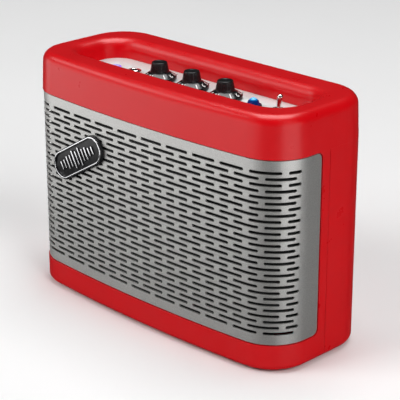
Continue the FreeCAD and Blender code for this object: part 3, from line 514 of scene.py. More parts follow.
class Palette:
    """Every finish of the amplifier."""

    CABINET = SparkedPlastic(
        "cabinet red moulding", (0.62, 0.001, 0.005), (0.58, 0.001, 0.004), (0.27, 0.34), 26, 5200,
        0.02 * MM, 0.14, 0.25 * MM, specular=0.3, pits=2100, dust=0.03,
    )
    GRILLE = SandedMetal(
        "grille satin aluminium", (0.55, 0.545, 0.53), (0.50, 0.495, 0.48), (0.36, 0.5), 30, 2600,
        0.03 * MM, 0.3, 0.14 * MM, metallic=0.75, sparkle=0.14,
    )
    CLOTH = WovenCloth(
        "black acoustic cloth", (0.018, 0.018, 0.02), (0.002, 0.002, 0.002), (0.8, 0.98),
        grain_depth=0.2 * MM, grain_strength=0.9, edge=0, specular=0.2, sheen=0.15,
    )
    BADGE = Finish(
        "badge black enamel", (0.006, 0.006, 0.007), (0.011, 0.011, 0.012), (0.28, 0.4), 120, 2600,
        0.02 * MM, 0.12, 0, specular=0.3,
    )
    CHROME = PolishedMetal(
        "badge chrome", (0.72, 0.72, 0.73), (0.6, 0.6, 0.62), (0.12, 0.26), 90, 3000, 0.01 * MM, 0.12, 0, 1,
    )
    PANEL = SandedMetal(
        "control panel silver", (0.74, 0.80, 0.79), (0.70, 0.76, 0.75), (0.35, 0.48), 60, 3600,
        0.02 * MM, 0.25, 0.12 * MM, metallic=0.3, sparkle=0.07,
    )
    KNOB = Finish(
        "knob gloss black", (0.006, 0.006, 0.007), (0.011, 0.011, 0.012), (0.14, 0.24), 200, 2600,
        0.012 * MM, 0.12, 0, specular=0.25, coat=0.1, coat_roughness=0.08,
    )
    INK_WHITE = PrintedInk(
        "white dial ink", (0.82, 0.82, 0.80), (0.6, 0.6, 0.6), (0.35, 0.5), 500, 4000, 0.01 * MM, 0.2, 0,
    )
    INK_BLACK = PrintedInk(
        "black panel ink", (0.02, 0.02, 0.022), (0.05, 0.05, 0.05), (0.4, 0.55), 500, 4000, 0.01 * MM, 0.2, 0,
    )
    BRIGHT = PolishedMetal(
        "bright nickel", (0.80, 0.79, 0.77), (0.70, 0.69, 0.67), (0.07, 0.18), 160, 3600, 0.008 * MM,
        0.1, 0, 1,
    )
    STEEL = PolishedMetal(
        "zinc steel", (0.52, 0.53, 0.54), (0.42, 0.43, 0.44), (0.25, 0.42), 120, 2600, 0.01 * MM,
        0.2, 0.1 * MM, 1,
    )
    BLACKED = PolishedMetal(
        "blackened steel", (0.045, 0.045, 0.05), (0.03, 0.03, 0.032), (0.25, 0.4), 200, 2600, 0.01 * MM,
        0.2, 0, 0.6,
    )
    SWITCH = Finish("switch phenolic", (0.02, 0.02, 0.021), (0.035, 0.03, 0.028), (0.4, 0.6), 150, 2600)
    BUTTON = LightGuide(
        "lit button silicone", (0.42, 0.38, 0.80), (0.36, 0.33, 0.74), (0.4, 0.55), 300, 3600, 0.01 * MM,
        0.15, 0, glow=(0.5, 0.45, 1.0), power=0.15,
    )
    LAMP = LightGuide(
        "lamp diffuser", (0.7, 0.72, 0.75), (0.6, 0.62, 0.66), (0.2, 0.4), 300, 3600, 0.01 * MM, 0.15, 0,
        glow=(0.5, 0.8, 1.0), power=0.5,
    )
    RING = LightGuide(
        "pairing light guide", (0.25, 0.16, 0.7), (0.2, 0.12, 0.6), (0.2, 0.35), 300, 3000, edge=0,
        glow=(0.35, 0.16, 0.85), power=0.6,
    )
    # the jewel's glow is partly its lamp and partly a painted highlight centred on a spot at its top
    LENS = JewelGlass(
        "blue jewel glass", (0.004, 0.012, 0.14), (0.003, 0.008, 0.10), (0.03, 0.08), 300, 2600, 0.01 * MM,
        0.08, 0, glow=(0.0, 0.45, 1.0), power=2.4, clear=0.05, highlight_spot=(43 * MM, 0, 127.2 * MM), reach=3.1 * MM,
    )
    BOARD = CircuitLacquer(
        "circuit board", (0.012, 0.10, 0.035), (0.008, 0.075, 0.026), (0.25, 0.4), 70, 1800, coat=0.3,
    )
    BAFFLE = SparkedPlastic(
        "baffle black moulding", (0.014, 0.014, 0.015), (0.022, 0.022, 0.023), (0.5, 0.7), 60, 3000,
    )
    BASKET = Finish(
        "basket black lacquered steel", (0.03, 0.03, 0.032), (0.045, 0.045, 0.047), (0.35, 0.5), 90, 2200,
        metallic=0.4,
    )
    MAGNET = Finish(
        "magnet ferrite", (0.09, 0.09, 0.095), (0.13, 0.13, 0.135), (0.55, 0.75), 200, 1600, 0.05 * MM, 0.3,
    )
    CONE = PaperPulp(
        "cone paper pulp", (0.02, 0.02, 0.02), (0.035, 0.034, 0.033), (0.75, 0.9), 150, 2600, 0.08 * MM, 0.5,
        sheen=0.1,
    )
    RUBBER = Finish(
        "soft rubber", (0.018, 0.018, 0.018), (0.028, 0.028, 0.028), (0.65, 0.85), 200, 3000, 0.04 * MM, 0.3,
        sheen=0.1,
    )
    WRAP = Finish(
        "cell shrink wrap", (0.03, 0.16, 0.36), (0.02, 0.12, 0.30), (0.22, 0.4), 120, 700, 0.05 * MM, 0.2,
        coat=0.3,
    )
    RIBBON = RibbonFlex(
        "ribbon grey", (0.42, 0.43, 0.45), (0.36, 0.37, 0.39), (0.4, 0.55), 100, 800, 0.2 * MM, 0.6,
    )
    PORT = Finish("connector black nylon", (0.02, 0.02, 0.02), (0.03, 0.03, 0.03), (0.35, 0.5), 200, 2600)
    GOLD = PolishedMetal(
        "gold contact", (0.90, 0.62, 0.22), (0.82, 0.55, 0.18), (0.15, 0.3), 200, 2600, 0.01 * MM, 0.15, 0, 1,
    )
    FLOOR = Finish(
        "pale studio floor", (0.93, 0.93, 0.93), (0.91, 0.91, 0.91), (0.6, 0.7), 3, 300, 0.02 * MM, 0.05, 0,
        specular=0.25,
    )


# ------------------------------------------------------------------------------------------ mesh tools
@dataclass
class Workpiece:
    """A mesh in the making that ends as one piece riding on a body."""

    name: str
    mesh: bmesh.types.BMesh = field(default_factory=bmesh.new)

    @classmethod
    def copied(cls, name: str, *nodes: str, flat_angle: float = 0.4) -> "Workpiece":
        """Starts from copies of frame nodes, welded and with their flat faces joined up.

        Args:
            name: The piece's name.
            nodes: The frame nodes.
            flat_angle: Up to how many degrees neighbouring triangles count as one face.

        Returns:
            The workpiece.
        """
        piece = cls(name)
        for node in nodes:
            piece.mesh.from_mesh(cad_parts[node].data)
        piece.weld()
        mesh, angle = piece.mesh, math.radians(flat_angle)
        bmesh.ops.dissolve_limit(mesh, angle_limit=angle, verts=mesh.verts, edges=mesh.edges)
        return piece

    def weld(self, distance: float = 0.002 * MM) -> "Workpiece":
        """Merges vertices that lie nearer than a distance, and gives the workpiece back."""
        bmesh.ops.remove_doubles(self.mesh, verts=self.mesh.verts, dist=distance)
        return self

    def turned(
        self, profile: Profile, centre: Vector, steps: int = 96, around: Matrix | None = None
    ) -> "Workpiece":
        """Adds a body of revolution about its own upright axis.

        Args:
            profile: Radius and height of each corner, from one end of the axis to the other.
            centre: Where the profile's origin comes to lie.
            steps: Facets round the axis.
            around: A turn given to the finished body.

        Returns:
            The workpiece.
        """
        fresh = bmesh.new()
        corners = [fresh.verts.new((radius, 0, height)) for radius, height in profile]
        line = [fresh.edges.new(pair) for pair in zip(corners, corners[1:])]
        bmesh.ops.spin(
            fresh, geom=corners + line, cent=(0, 0, 0), axis=(0, 0, 1), angle=math.tau, steps=steps,
            use_merge=True,
        )
        bmesh.ops.remove_doubles(fresh, verts=fresh.verts, dist=0.0005 * MM)
        bmesh.ops.recalc_face_normals(fresh, faces=fresh.faces)
        return self.taken(fresh, Matrix.Translation(centre) @ (around or Matrix.Identity(4)))

    def taken(self, other: bmesh.types.BMesh, place: Matrix) -> "Workpiece":
        """Takes another mesh in, moved to its place.

        Args:
            other: The mesh, which is freed.
            place: Where it goes.

        Returns:
            The workpiece.
        """
        bmesh.ops.transform(other, matrix=place, verts=other.verts)
        carried = bpy.data.meshes.new("carried")
        other.to_mesh(carried)
        other.free()
        self.mesh.from_mesh(carried)
        bpy.data.meshes.remove(carried)
        return self

    def block(self, low: Vector, high: Vector, ease: float = 0) -> "Workpiece":
        """Adds a block between two corners, with its edges eased.

        Args:
            low: The lowest corner.
            high: The highest corner.
            ease: The edge radius.

        Returns:
            The workpiece.
        """
        fresh = bmesh.new()
        bmesh.ops.create_cube(fresh, size=1)
        bmesh.ops.scale(fresh, vec=high - low, verts=fresh.verts)
        if ease:
            bevel(fresh, fresh.edges, ease, 2)
        return self.taken(fresh, Matrix.Translation((low + high) / 2))

    def hexagon(self, across: float, high: float, bore: float, centre: Vector, ease: float) -> "Workpiece":
        """Adds a hexagon nut with a round bore and chamfered corners.

        Args:
            across: The size across the flats.
            high: How tall it is.
            bore: The bore's radius.
            centre: The middle of its foot.
            ease: The edge radius.

        Returns:
            The workpiece.
        """
        fresh = bmesh.new()
        corner = across / 2 / math.cos(math.pi / 6)
        outer = bmesh.ops.create_circle(fresh, radius=corner, segments=6)["verts"]
        inner = bmesh.ops.create_circle(fresh, radius=bore, segments=48)["verts"]
        edges = [edge for edge in fresh.edges if edge.verts[0] in outer or edge.verts[0] in inner]
        bmesh.ops.bridge_loops(fresh, edges=edges)
        raised = bmesh.ops.extrude_face_region(fresh, geom=fresh.faces[:])["geom"]
        tops = [item for item in raised if isinstance(item, bmesh.types.BMVert)]
        bmesh.ops.translate(fresh, vec=(0, 0, high), verts=tops)
        bmesh.ops.recalc_face_normals(fresh, faces=fresh.faces)
        rims = [edge for edge in fresh.edges if sharp(edge, 20)]
        bevel(fresh, rims, ease, 2)
        return self.taken(fresh, Matrix.Translation(centre))

    def eased(self, radius: float, segments: int = 2, angle: float = 25) -> "Workpiece":
        """Rounds the sharp edges.

        Args:
            radius: The edge radius.
            segments: Facets across each rounded edge.
            angle: From how many degrees an edge counts as sharp.

        Returns:
            The workpiece.
        """
        bevel(self.mesh, [edge for edge in self.mesh.edges if sharp(edge, angle)], radius, segments)
        return self

    def shown(
        self,
        finish: Finish,
        body: Body,
        slot: Slot,
        replaces: Iterable[str] = (),
        crease: float = 32,
    ) -> bpy.types.Object:
        """slot: Its material slot in the record; not used.
            replaces: The frame nodes that it stands for.
            crease: From how many degrees an edge stays sharp.

        Returns:
            The object.
        """
        mesh = bpy.data.meshes.new(self.name)
        self.mesh.to_mesh(mesh)
        self.mesh.free()
        mesh.polygons.foreach_set("use_smooth", [True] * len(mesh.polygons))
        mesh.set_sharp_from_angle(angle=math.radians(crease))
        mesh.materials.append(finish.material())
        piece = bpy.data.objects.new(self.name, mesh)
        bpy.context.scene.collection.objects.link(piece)
        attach(piece, body.value)
        if replaces:
            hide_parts(*replaces)
        log.info("%s: %d faces in %s", self.name, len(mesh.polygons), finish.name)
        return piece


def sharp(edge: bmesh.types.BMEdge, angle: float) -> bool:
    """Tells whether an edge turns by more than an angle in degrees."""
    return len(edge.link_faces) == 2 and edge.calc_face_angle(0) > math.radians(angle)


def bevel(mesh: bmesh.types.BMesh, edges: Iterable[bmesh.types.BMEdge], radius: float, segments: int) -> None:
    """Rounds edges of a mesh.

    Args:
        mesh: The mesh.
        edges: The edges.
        radius: The edge radius.
        segments: Facets across each rounded edge.
    """
    bmesh.ops.bevel(
        mesh, geom=list(edges), offset=radius, offset_type="OFFSET", segments=segments, profile=0.5,
        affect="EDGES", material=-1, clamp_overlap=True,
    )


def dress(finish: Finish, *nodes: str) -> None:
    """Gives frame nodes their finish and keeps their shape.

    Args:
        finish: What covers them.
        nodes: The frame nodes.
    """
    for node in nodes:
        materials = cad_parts[node].data.materials
        materials.clear()
        materials.append(finish.material())
        log.info("%s: frame shape in %s", node, finish.name)


def middle(node: str) -> Vector:
    """Gives the middle of a frame node's foot."""
    low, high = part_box(node)
    return Vector(((low.x + high.x) / 2, (low.y + high.y) / 2, low.z))


def lettering(text: str, size: float, thick: float) -> bmesh.types.BMesh:
    """Makes printed characters, centred on the origin and lying flat.

    Args:
        text: The characters.
        size: Their type size.
        thick: How thick the ink is.

    Returns:
        The mesh.
    """
    curve = bpy.data.curves.new("numeral", "FONT")
    curve.body = text
    curve.size = size
    curve.extrude = thick / 2
    curve.offset = size * 0.03
    curve.align_x = "CENTER"
    curve.align_y = "CENTER"
    curve.resolution_u = 3
    holder = bpy.data.objects.new("numeral", curve)
    flat = bpy.data.meshes.new_from_object(holder)
    made = bmesh.new()
    made.from_mesh(flat)
    bpy.data.objects.remove(holder)
    bpy.data.meshes.remove(flat)
    bpy.data.curves.remove(curve)
    return made


# ------------------------------------------------------------------------------------------ cabinet
@dataclass
class Cabinet:
    """The red two-part housing with the long screws inside it."""

    shells: tuple[str, ...] = ("front_shell", "rear_shell")

    def build(self) -> None:
        """Dresses the shells and their screws."""
        dress(Palette.CABINET, *self.shells)
        dress(Palette.STEEL, "case_screws")


@dataclass
class Grille:
    """The bowed sheet-metal grille and the acoustic cloth stretched behind it."""

    corner: float = 21 * MM
    sagitta: float = 4.4 * MM
    gap: float = 0.2 * MM
    thick: float = 0.3 * MM
    steps_bow: int = 48
    steps_corner: int = 24
    rows: int = 24

    def build(self) -> None:
        """Dresses the metal and stretches the cloth."""
        dress(Palette.GRILLE, "front_grille")
        self.cloth()

    def cloth(self) -> None:
        """Winds a sheet along the inside of the grille: the bow, then each corner and its straight end."""
        low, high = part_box("grille_cloth")
        half, tall, front = high.x - self.gap, high.z - low.z, -low.y - self.gap
        sheet = Workpiece("acoustic_cloth")
        flat_half = half - self.corner
        bow = (flat_half**2 + self.sagitta**2) / (2 * self.sagitta)
        lean = math.asin(flat_half / bow)
        mesh = sheet.mesh
        foot = mesh.verts.new((0, -front, low.z))
        head = mesh.verts.new((0, -front, high.z))
        seam = mesh.edges.new((foot, head))
        spun = bmesh.ops.spin(
            mesh, geom=[foot, head, seam], cent=(0, bow - front, 0), axis=(0, 0, 1), angle=lean,
            steps=self.steps_bow,
        )["geom_last"]
        edge = next(item for item in spun if isinstance(item, bmesh.types.BMEdge))
        end = edge.verts[0].co
        normal = Vector((math.sin(lean), -math.cos(lean), 0))
        pivot = Vector((end.x, end.y, 0)) - normal * self.corner
        spun = bmesh.ops.spin(
            mesh, geom=spun, cent=pivot, axis=(0, 0, 1), angle=math.pi / 2 - lean, steps=self.steps_corner
        )["geom_last"]
        tail = bmesh.ops.extrude_edge_only(mesh, edges=[e for e in spun if isinstance(e, bmesh.types.BMEdge)])
        tips = [item for item in tail["geom"] if isinstance(item, bmesh.types.BMVert)]
        stretch = high.y - tips[0].co.y
        bmesh.ops.translate(mesh, vec=(0, stretch, 0), verts=tips)
        whole = mesh.verts[:] + mesh.edges[:] + mesh.faces[:]
        bmesh.ops.mirror(mesh, geom=whole, merge_dist=0.01 * MM, axis="X")
        uprights = [e for e in mesh.edges if abs(e.verts[0].co.z - e.verts[1].co.z) > tall / 2]
        bmesh.ops.subdivide_edges(mesh, edges=uprights, cuts=self.rows, use_grid_fill=True)
        bmesh.ops.recalc_face_normals(mesh, faces=mesh.faces)
        run = self.chart(mesh, bow - front, bow, lean, pivot)
        bmesh.ops.solidify(mesh, geom=mesh.faces[:], thickness=self.thick)
        piece = sheet.shown(Palette.CLOTH, Body.CABINET, Slot.CLOTH, ["grille_cloth"])

    def chart(self, mesh: bmesh.types.BMesh, centre: float, bow: float, lean: float, pivot: Vector) -> float:
        """Lays the sheet's UV map out flat, in metres.

        Args:
            mesh: The sheet.
            centre: How far back the bow's centre lies.
            bow: The bow's radius.
            lean: The angle at which the bow meets the corner.
            pivot: The right corner's centre.

        Returns:
            The sheet's whole length along the bow.
        """

        def along(point: Vector) -> float:
            """Gives how far along the sheet a point lies from its middle.

            Args:
                point: The point.

            Returns:
                The distance, negative on the left.
            """
            side, reach = math.copysign(1, point.x), abs(point.x)
            if point.y > pivot.y:
                return side * (bow * lean + self.corner * (math.pi / 2 - lean) + point.y - pivot.y)
            angle = math.atan2(reach, centre - point.y)
            if angle <= lean:
                return side * bow * angle
            turn = math.atan2(reach - pivot.x, pivot.y - point.y)
            return side * (bow * lean + self.corner * (turn - lean))

        layer = mesh.loops.layers.uv.new("threads")
        for face in mesh.faces:
            for loop in face.loops:
                loop[layer].uv = (along(loop.vert.co), loop.vert.co.z)
        return 2 * max(along(vert.co) for vert in mesh.verts)


@dataclass
class Badge:
    """The sloping nameplate: black enamel with a raised chrome border and sound-wave bars."""

    plate_ease: float = 0.35 * MM
    relief_ease: float = 0.16 * MM

    def build(self) -> None:
        """Builds the plate and the relief on it."""
        plate = Workpiece.copied("nameplate", "badge_plate").eased(self.plate_ease, 4)
        plate.shown(Palette.BADGE, Body.CABINET, Slot.BADGE, ["badge_plate"])
        relief = Workpiece.copied("nameplate_wave", "badge_emblem").eased(self.relief_ease, 3)
        relief.shown(Palette.CHROME, Body.CABINET, Slot.CHROME, ["badge_emblem"])


# ------------------------------------------------------------------------------------------ controls
@dataclass
class ControlPanel:
    """The silver panel with its printed index marks."""

    edge: float = 0.12 * MM
    mark_reach: float = 12.4 * MM
    mark_long: float = 1.6 * MM
    mark_wide: float = 0.7 * MM
    ink: float = 0.04 * MM

    def build(self) -> None:
        """Dresses the panel and prints an index mark behind each knob."""
        panel = Workpiece.copied("control_plate", "control_panel").eased(self.edge, 2)
        panel.shown(Palette.PANEL, Body.CABINET, Slot.PANEL, ["control_panel"])
        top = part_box("control_panel")[1].z
        marks = Workpiece("index_marks")
        for knob in ("volume_knob", "treble_knob", "bass_knob"):
            spot = middle(knob)
            centre = Vector((spot.x, spot.y + self.mark_reach, top + self.ink / 2))
            half = Vector((self.mark_wide, self.mark_long, self.ink)) / 2
            marks.block(centre - half, centre + half)
        marks.shown(Palette.INK_BLACK, Body.CABINET, Slot.KNOB)


@dataclass
class SkirtedKnob:
    """A black knob with a dished, fluted cap on a wide skirt that carries its scale of numerals."""

    node: str
    body: Body
    numbers: int = 10
    sweep: float = 300
    turn: float = 35
    numeral_size: float = 3.5 * MM
    ink: float = 0.04 * MM
    flutes: int = 28
    flute_depth: float = 0.16 * MM
    skirt_edge: float = 1.7 * MM
    skirt_top: float = 3.7 * MM
    skirt_inner: float = 5.4 * MM
    lip: float = 0.35 * MM
    cap_foot: float = 4.9 * MM
    cap_head: float = 4.1 * MM
    cap_neck: float = 0.45 * MM
    hollow_high: float = 2.5 * MM
    hollow_ledge: float = 1.4 * MM
    centre: Vector = field(init=False)
    radius: float = field(init=False)
    tall: float = field(init=False)

    def build(self) -> None:
        """Builds the knob and prints its scale."""
        self.centre = middle(self.node)
        low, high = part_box(self.node)
        self.radius, self.tall = (high.x - low.x) / 2, high.z - low.z
        self.knob()
        self.scale()

    def outline(self) -> list[Pair]:
        """Gives the knob's section, from the hollow foot over the skirt to the dished top.

        Returns:
            Radius and height of each corner.
        """
        edge, tall, lip = self.radius, self.tall, self.lip
        skirt = [(edge - 0.25 * MM, 0), (edge, 0.25 * MM), (edge, self.skirt_edge - lip)]
        for step in range(1, 4):
            angle = math.radians(30 * step)
            skirt.append((edge - lip + lip * math.cos(angle), self.skirt_edge - lip + lip * math.sin(angle)))
        slope = [
            (self.skirt_inner + 0.6 * MM, self.skirt_top - 0.32 * MM), (self.skirt_inner, self.skirt_top),
            (self.cap_foot + 0.12 * MM, self.skirt_top + 0.12 * MM),
            (self.cap_foot, self.skirt_top + self.cap_neck),
        ]
        sides = 6
        rise = tall - 0.6 * MM - self.skirt_top - self.cap_neck
        for step in range(1, sides + 1):
            share = step / sides
            slope.append((self.cap_foot + (self.cap_head - self.cap_foot) * share,
                          self.skirt_top + self.cap_neck + rise * share))
        dish = ((0.1, 0.3), (0.3, 0.08), (0.55, 0), (0.85, 0.04), (1.15, 0.2), (1.9, 0.42), (2.9, 0.54))
        crown = [(self.cap_head - inward * MM, tall - drop * MM) for inward, drop in dish]
        ledge = self.cap_foot + self.hollow_ledge
        foot = [(0, self.hollow_high), (ledge, self.hollow_high), (ledge, 0.2 * MM)]
        return foot + skirt + slope + crown + [(0, tall - 0.58 * MM)]

    def knob(self) -> None:
        """Spins the knob and presses the flutes into its cap."""
        piece = Workpiece(self.node.replace("knob", "dial"))
        piece.turned(self.outline(), self.centre, self.flutes * 8)
        low, high = self.skirt_top + 0.6 * MM, self.tall - 0.35 * MM
        for vert in piece.mesh.verts:
            out = Vector((vert.co.x - self.centre.x, vert.co.y - self.centre.y, 0))
            height = vert.co.z - self.centre.z
            if low < height < high and out.length > self.cap_head - 0.2 * MM:
                groove = max(0.0, math.cos(self.flutes * math.atan2(out.y, out.x))) ** 2
                vert.co -= out.normalized() * self.flute_depth * groove
        piece.shown(Palette.KNOB, self.body, Slot.KNOB, [self.node], 40)

    def scale(self) -> None:
        """Prints the numerals round the skirt, wrapped onto its slope."""
        printed = Workpiece(self.node.replace("knob", "numerals"))
        start = math.radians(-90 + (360 - self.sweep) / 2 + self.turn)
        step = math.radians(self.sweep / (self.numbers - 1))
        outer = self.radius - self.lip
        fall = (self.skirt_edge - self.skirt_top) / (outer - self.skirt_inner)
        reach = (outer + self.skirt_inner) / 2 + 0.1 * MM
        stretch = math.cos(math.atan(fall))
        for number in range(self.numbers):
            digits = lettering(str(number + 1), self.numeral_size, self.ink)
            around = start + step * number
            for vert in digits.verts:
                radius = reach + vert.co.y * stretch
                angle = around - vert.co.x / reach
                height = self.skirt_top + (radius - self.skirt_inner) * fall + vert.co.z + self.ink
                vert.co = Vector((radius * math.cos(angle), radius * math.sin(angle), height))
            printed.taken(digits, Matrix.Translation(self.centre))
        printed.shown(Palette.INK_WHITE, self.body, Slot.KNOB)


@dataclass
class KnobMounts:
    """The potentiometers, their shafts and their nuts under the knobs."""

    controls: tuple[str, ...] = ("volume", "treble", "bass")
    nut_across: float = 10 * MM
    nut_bore: float = 3.55 * MM
    nut_ease: float = 0.2 * MM

    def build(self) -> None:
        """Dresses the mounts and builds their nuts."""
        dress(Palette.STEEL, *(f"{name}_{part}" for part in ("pot", "shaft") for name in self.controls))
        nuts = Workpiece("potentiometer_nuts")
        low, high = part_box("pot_nuts")
        for name in self.controls:
            spot = middle(f"{name}_knob")
            foot = Vector((spot.x, spot.y, low.z))
            nuts.hexagon(self.nut_across, high.z - low.z, self.nut_bore, foot, self.nut_ease)
        nuts.shown(Palette.BRIGHT, Body.CABINET, Slot.BRIGHT, ["pot_nuts"])


@dataclass
class PairingButton:
    """A dished push button in a glowing ring, over its tactile switch."""

    dish: float = 0.18 * MM
    stem_radius: float = 1.2 * MM
    stem_long: float = 5 * MM
    ring_gap: float = 0.15 * MM

    def build(self) -> None:
        """Builds the button and ring, and dresses the switch."""
        low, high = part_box("pairing_button")
        centre, radius, tall = middle("pairing_button"), (high.x - low.x) / 2, high.z - low.z
        profile = [
            (0, 0), (1.15 * MM, 0), (self.stem_radius, 0.05 * MM), (self.stem_radius, self.stem_long),
            (radius - 0.05 * MM, 5.05 * MM),
            (radius, 5.2 * MM), (radius, tall - 0.35 * MM), (radius - 0.1 * MM, tall - 0.12 * MM),
            (radius - 0.32 * MM, tall), (radius - 0.55 * MM, tall - 0.03 * MM),
            (radius * 0.5, tall - self.dish * 0.8), (0, tall - self.dish),
        ]
        button = Workpiece("pairing_cap").turned(profile, centre, 64)
        button.shown(Palette.BUTTON, Body.PAIRING, Slot.BUTTON, ["pairing_button"])
        low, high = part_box("pairing_light_ring")
        outer, inner, tall = (high.x - low.x) / 2, radius + self.ring_gap, high.z - low.z
        ring = [
            (inner, 0), (outer, 0), (outer, tall - 0.18 * MM), (outer - 0.06 * MM, tall - 0.05 * MM),
            (outer - 0.2 * MM, tall), (inner + 0.15 * MM, tall), (inner + 0.03 * MM, tall - 0.05 * MM),
            (inner, tall - 0.15 * MM), (inner, 0),
        ]
        guide = Workpiece("pairing_glow").turned(ring, middle("pairing_light_ring"), 64)
        guide.shown(Palette.RING, Body.CABINET, Slot.RING, ["pairing_light_ring"])
        dress(Palette.SWITCH, "pairing_switch")


@dataclass
class AuxSocket:
    """The audio socket: a bright sleeve in a ring nut, on the frame's socket body."""

    bore: float = 1.8 * MM
    barrel: float = 3 * MM
    sleeve_long: float = 4 * MM

    def build(self) -> None:
        """Builds the nut and the sleeve, and dresses the body."""
        dress(Palette.SWITCH, "aux_jack")
        low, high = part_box("aux_jack_nut")
        outer, tall = (high.x - low.x) / 2, high.z - low.z
        inner = self.barrel + 0.05 * MM
        ring = [
            (inner, 0), (outer, 0), (outer, tall - 0.3 * MM), (outer - 0.1 * MM, tall - 0.1 * MM),
            (outer - 0.3 * MM, tall), (inner + 0.15 * MM, tall), (inner, tall - 0.15 * MM), (inner, 0),
        ]
        nut = Workpiece("audio_socket_nut").turned(ring, middle("aux_jack_nut"), 72)
        nut.shown(Palette.BRIGHT, Body.CABINET, Slot.BRIGHT, ["aux_jack_nut"])
        centre, top = middle("aux_jack_nut"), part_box("aux_jack")[1].z
        sleeve = [
            (self.bore, -self.sleeve_long), (self.bore, 0.05 * MM), (self.bore + 0.15 * MM, 0.18 * MM),
            (self.barrel - 0.3 * MM, 0.18 * MM), (self.barrel - 0.05 * MM, 0.02 * MM),
            (self.barrel - 0.05 * MM, 0), (self.bore + 0.2 * MM, 0),
            (self.bore + 0.2 * MM, -self.sleeve_long), (self.bore, -self.sleeve_long),
        ]
        bush = Workpiece("audio_socket_sleeve").turned(sleeve, Vector((centre.x, centre.y, top)), 64)
        bush.shown(Palette.BRIGHT, Body.CABINET, Slot.BRIGHT)


@dataclass
class JewelLight:
    """The power light: a faceted blue jewel in a dark bezel, with its lamp below."""

    facets: int = 12

    def build(self) -> None:
        """Builds lens and bezel, and dresses the lamp."""
        low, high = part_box("jewel_lens")
        centre, radius, tall = middle("jewel_lens"), (high.x - low.x) / 2, high.z - low.z
        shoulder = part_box("jewel_bezel")[1].z - low.z
        skirt = [
            (radius - 1 * MM, 0), (radius, 0), (radius, shoulder), (radius - 0.25 * MM, shoulder + 0.35 * MM),
        ]
        lens = Workpiece("jewel")
        lens.turned([*skirt, (radius - 1 * MM, shoulder + 0.3 * MM), (radius - 1 * MM, 0)], centre, 72)
        rise = tall - shoulder
        crown = [
            (0, shoulder - 1 * MM), (radius - 0.35 * MM, shoulder - 1 * MM),
            (radius - 0.3 * MM, shoulder + 0.3 * MM),
            (radius * 0.78, shoulder + rise * 0.52), (radius * 0.5, shoulder + rise * 0.84),
            (radius * 0.2, shoulder + rise * 0.985), (0, tall),
        ]
        lens.turned(crown, centre, self.facets)
        lens.shown(Palette.LENS, Body.CABINET, Slot.LENS, ["jewel_lens"], 8)
        low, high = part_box("jewel_bezel")
        outer, inner, tall = (high.x - low.x) / 2, radius + 0.05 * MM, high.z - low.z
        ring = [
            (inner, 0), (outer, 0), (outer, tall * 0.5), (outer - 0.12 * MM, tall * 0.78),
            (outer - 0.4 * MM, tall), (inner + 0.1 * MM, tall), (inner, tall - 0.1 * MM), (inner, 0),
        ]
        bezel = Workpiece("jewel_collar").turned(ring, middle("jewel_bezel"), 72)
        bezel.shown(Palette.BLACKED, Body.CABINET, Slot.BRIGHT, ["jewel_bezel"])
        dress(Palette.LAMP, "jewel_lamp")


@dataclass
class ToggleSwitch:
    """The power switch: a bat lever in a threaded bushing, under a hexagon nut."""

    lean: float = 13
    across: float = 8 * MM
    barrel: float = 3 * MM
    bore: float = 2.2 * MM
    pivot_rise: float = 1 * MM
    long: float = 8.5 * MM
    neck: float = 1.0 * MM
    bat: float = 1.5 * MM
    ball: float = 1.7 * MM
    turns: int = 6

    def build(self) -> None:
        """Builds nut, thread and lever, and dresses the body."""
        dress(Palette.SWITCH, "toggle_switch")
        low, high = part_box("toggle_nut")
        foot = middle("toggle_nut")
        nut = Workpiece("switch_nut")
        nut.hexagon(self.across, high.z - low.z, self.barrel + 0.05 * MM, foot, 0.25 * MM)
        nut.shown(Palette.BRIGHT, Body.CABINET, Slot.BRIGHT, ["toggle_nut"])
        self.bushing(foot, high.z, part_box("toggle_switch")[1].z)
        self.lever(Vector((foot.x, foot.y, foot.z + self.pivot_rise)))

    def bushing(self, foot: Vector, low: float, high: float) -> None:
        """Builds the threaded bushing's visible end.

        Args:
            foot: The switch's middle on the panel.
            low: The level where the thread leaves the nut.
            high: The bushing's top level.
        """
        outer = self.barrel + 0.02 * MM
        profile = [(self.bore, -3 * MM), (outer - 0.2 * MM, -3 * MM)]
        start = low - high - 0.3 * MM
        for turn in range(self.turns):
            level = start + (-start - 0.25 * MM) * turn / self.turns
            profile += [(outer - 0.14 * MM, level), (outer, level + 0.05 * MM)]
        profile += [
            (outer - 0.1 * MM, -0.12 * MM), (outer - 0.25 * MM, 0.02 * MM), (self.bore + 0.1 * MM, 0.02 * MM),
            (self.bore, -0.1 * MM), (self.bore, -3 * MM),
        ]
        piece = Workpiece("switch_bushing").turned(profile, Vector((foot.x, foot.y, high)), 64)
        piece.shown(Palette.BRIGHT, Body.CABINET, Slot.BRIGHT)

    def lever(self, pivot: Vector) -> None:
        """Builds the bat lever, leaning back to its rest.

        Args:
            pivot: The middle of its ball.
        """
        neck, bat = self.neck, self.bat
        profile = [(0, -5.4 * MM), (0.5 * MM, -5.3 * MM), (0.6 * MM, -5.1 * MM), (0.6 * MM, -1.8 * MM)]
        for step in range(9):
            angle = math.radians(-62 + 15.5 * step)
            profile.append((self.ball * math.cos(angle), self.ball * math.sin(angle)))
        profile += [(neck, 1.9 * MM), (neck, 2.4 * MM), (1.1 * MM, 3.6 * MM), (1.3 * MM, 5.2 * MM)]
        profile.append((bat, 7 * MM))
        for step in range(1, 7):
            angle = math.radians(15 * step)
            profile.append((bat * math.cos(angle), self.long - bat + bat * math.sin(angle)))
        lean = Matrix.Rotation(math.radians(-self.lean), 4, "X")
        piece = Workpiece("switch_lever").turned(profile, pivot, 48, lean)
        piece.shown(Palette.BRIGHT, Body.POWER, Slot.BRIGHT, ["toggle_lever"])


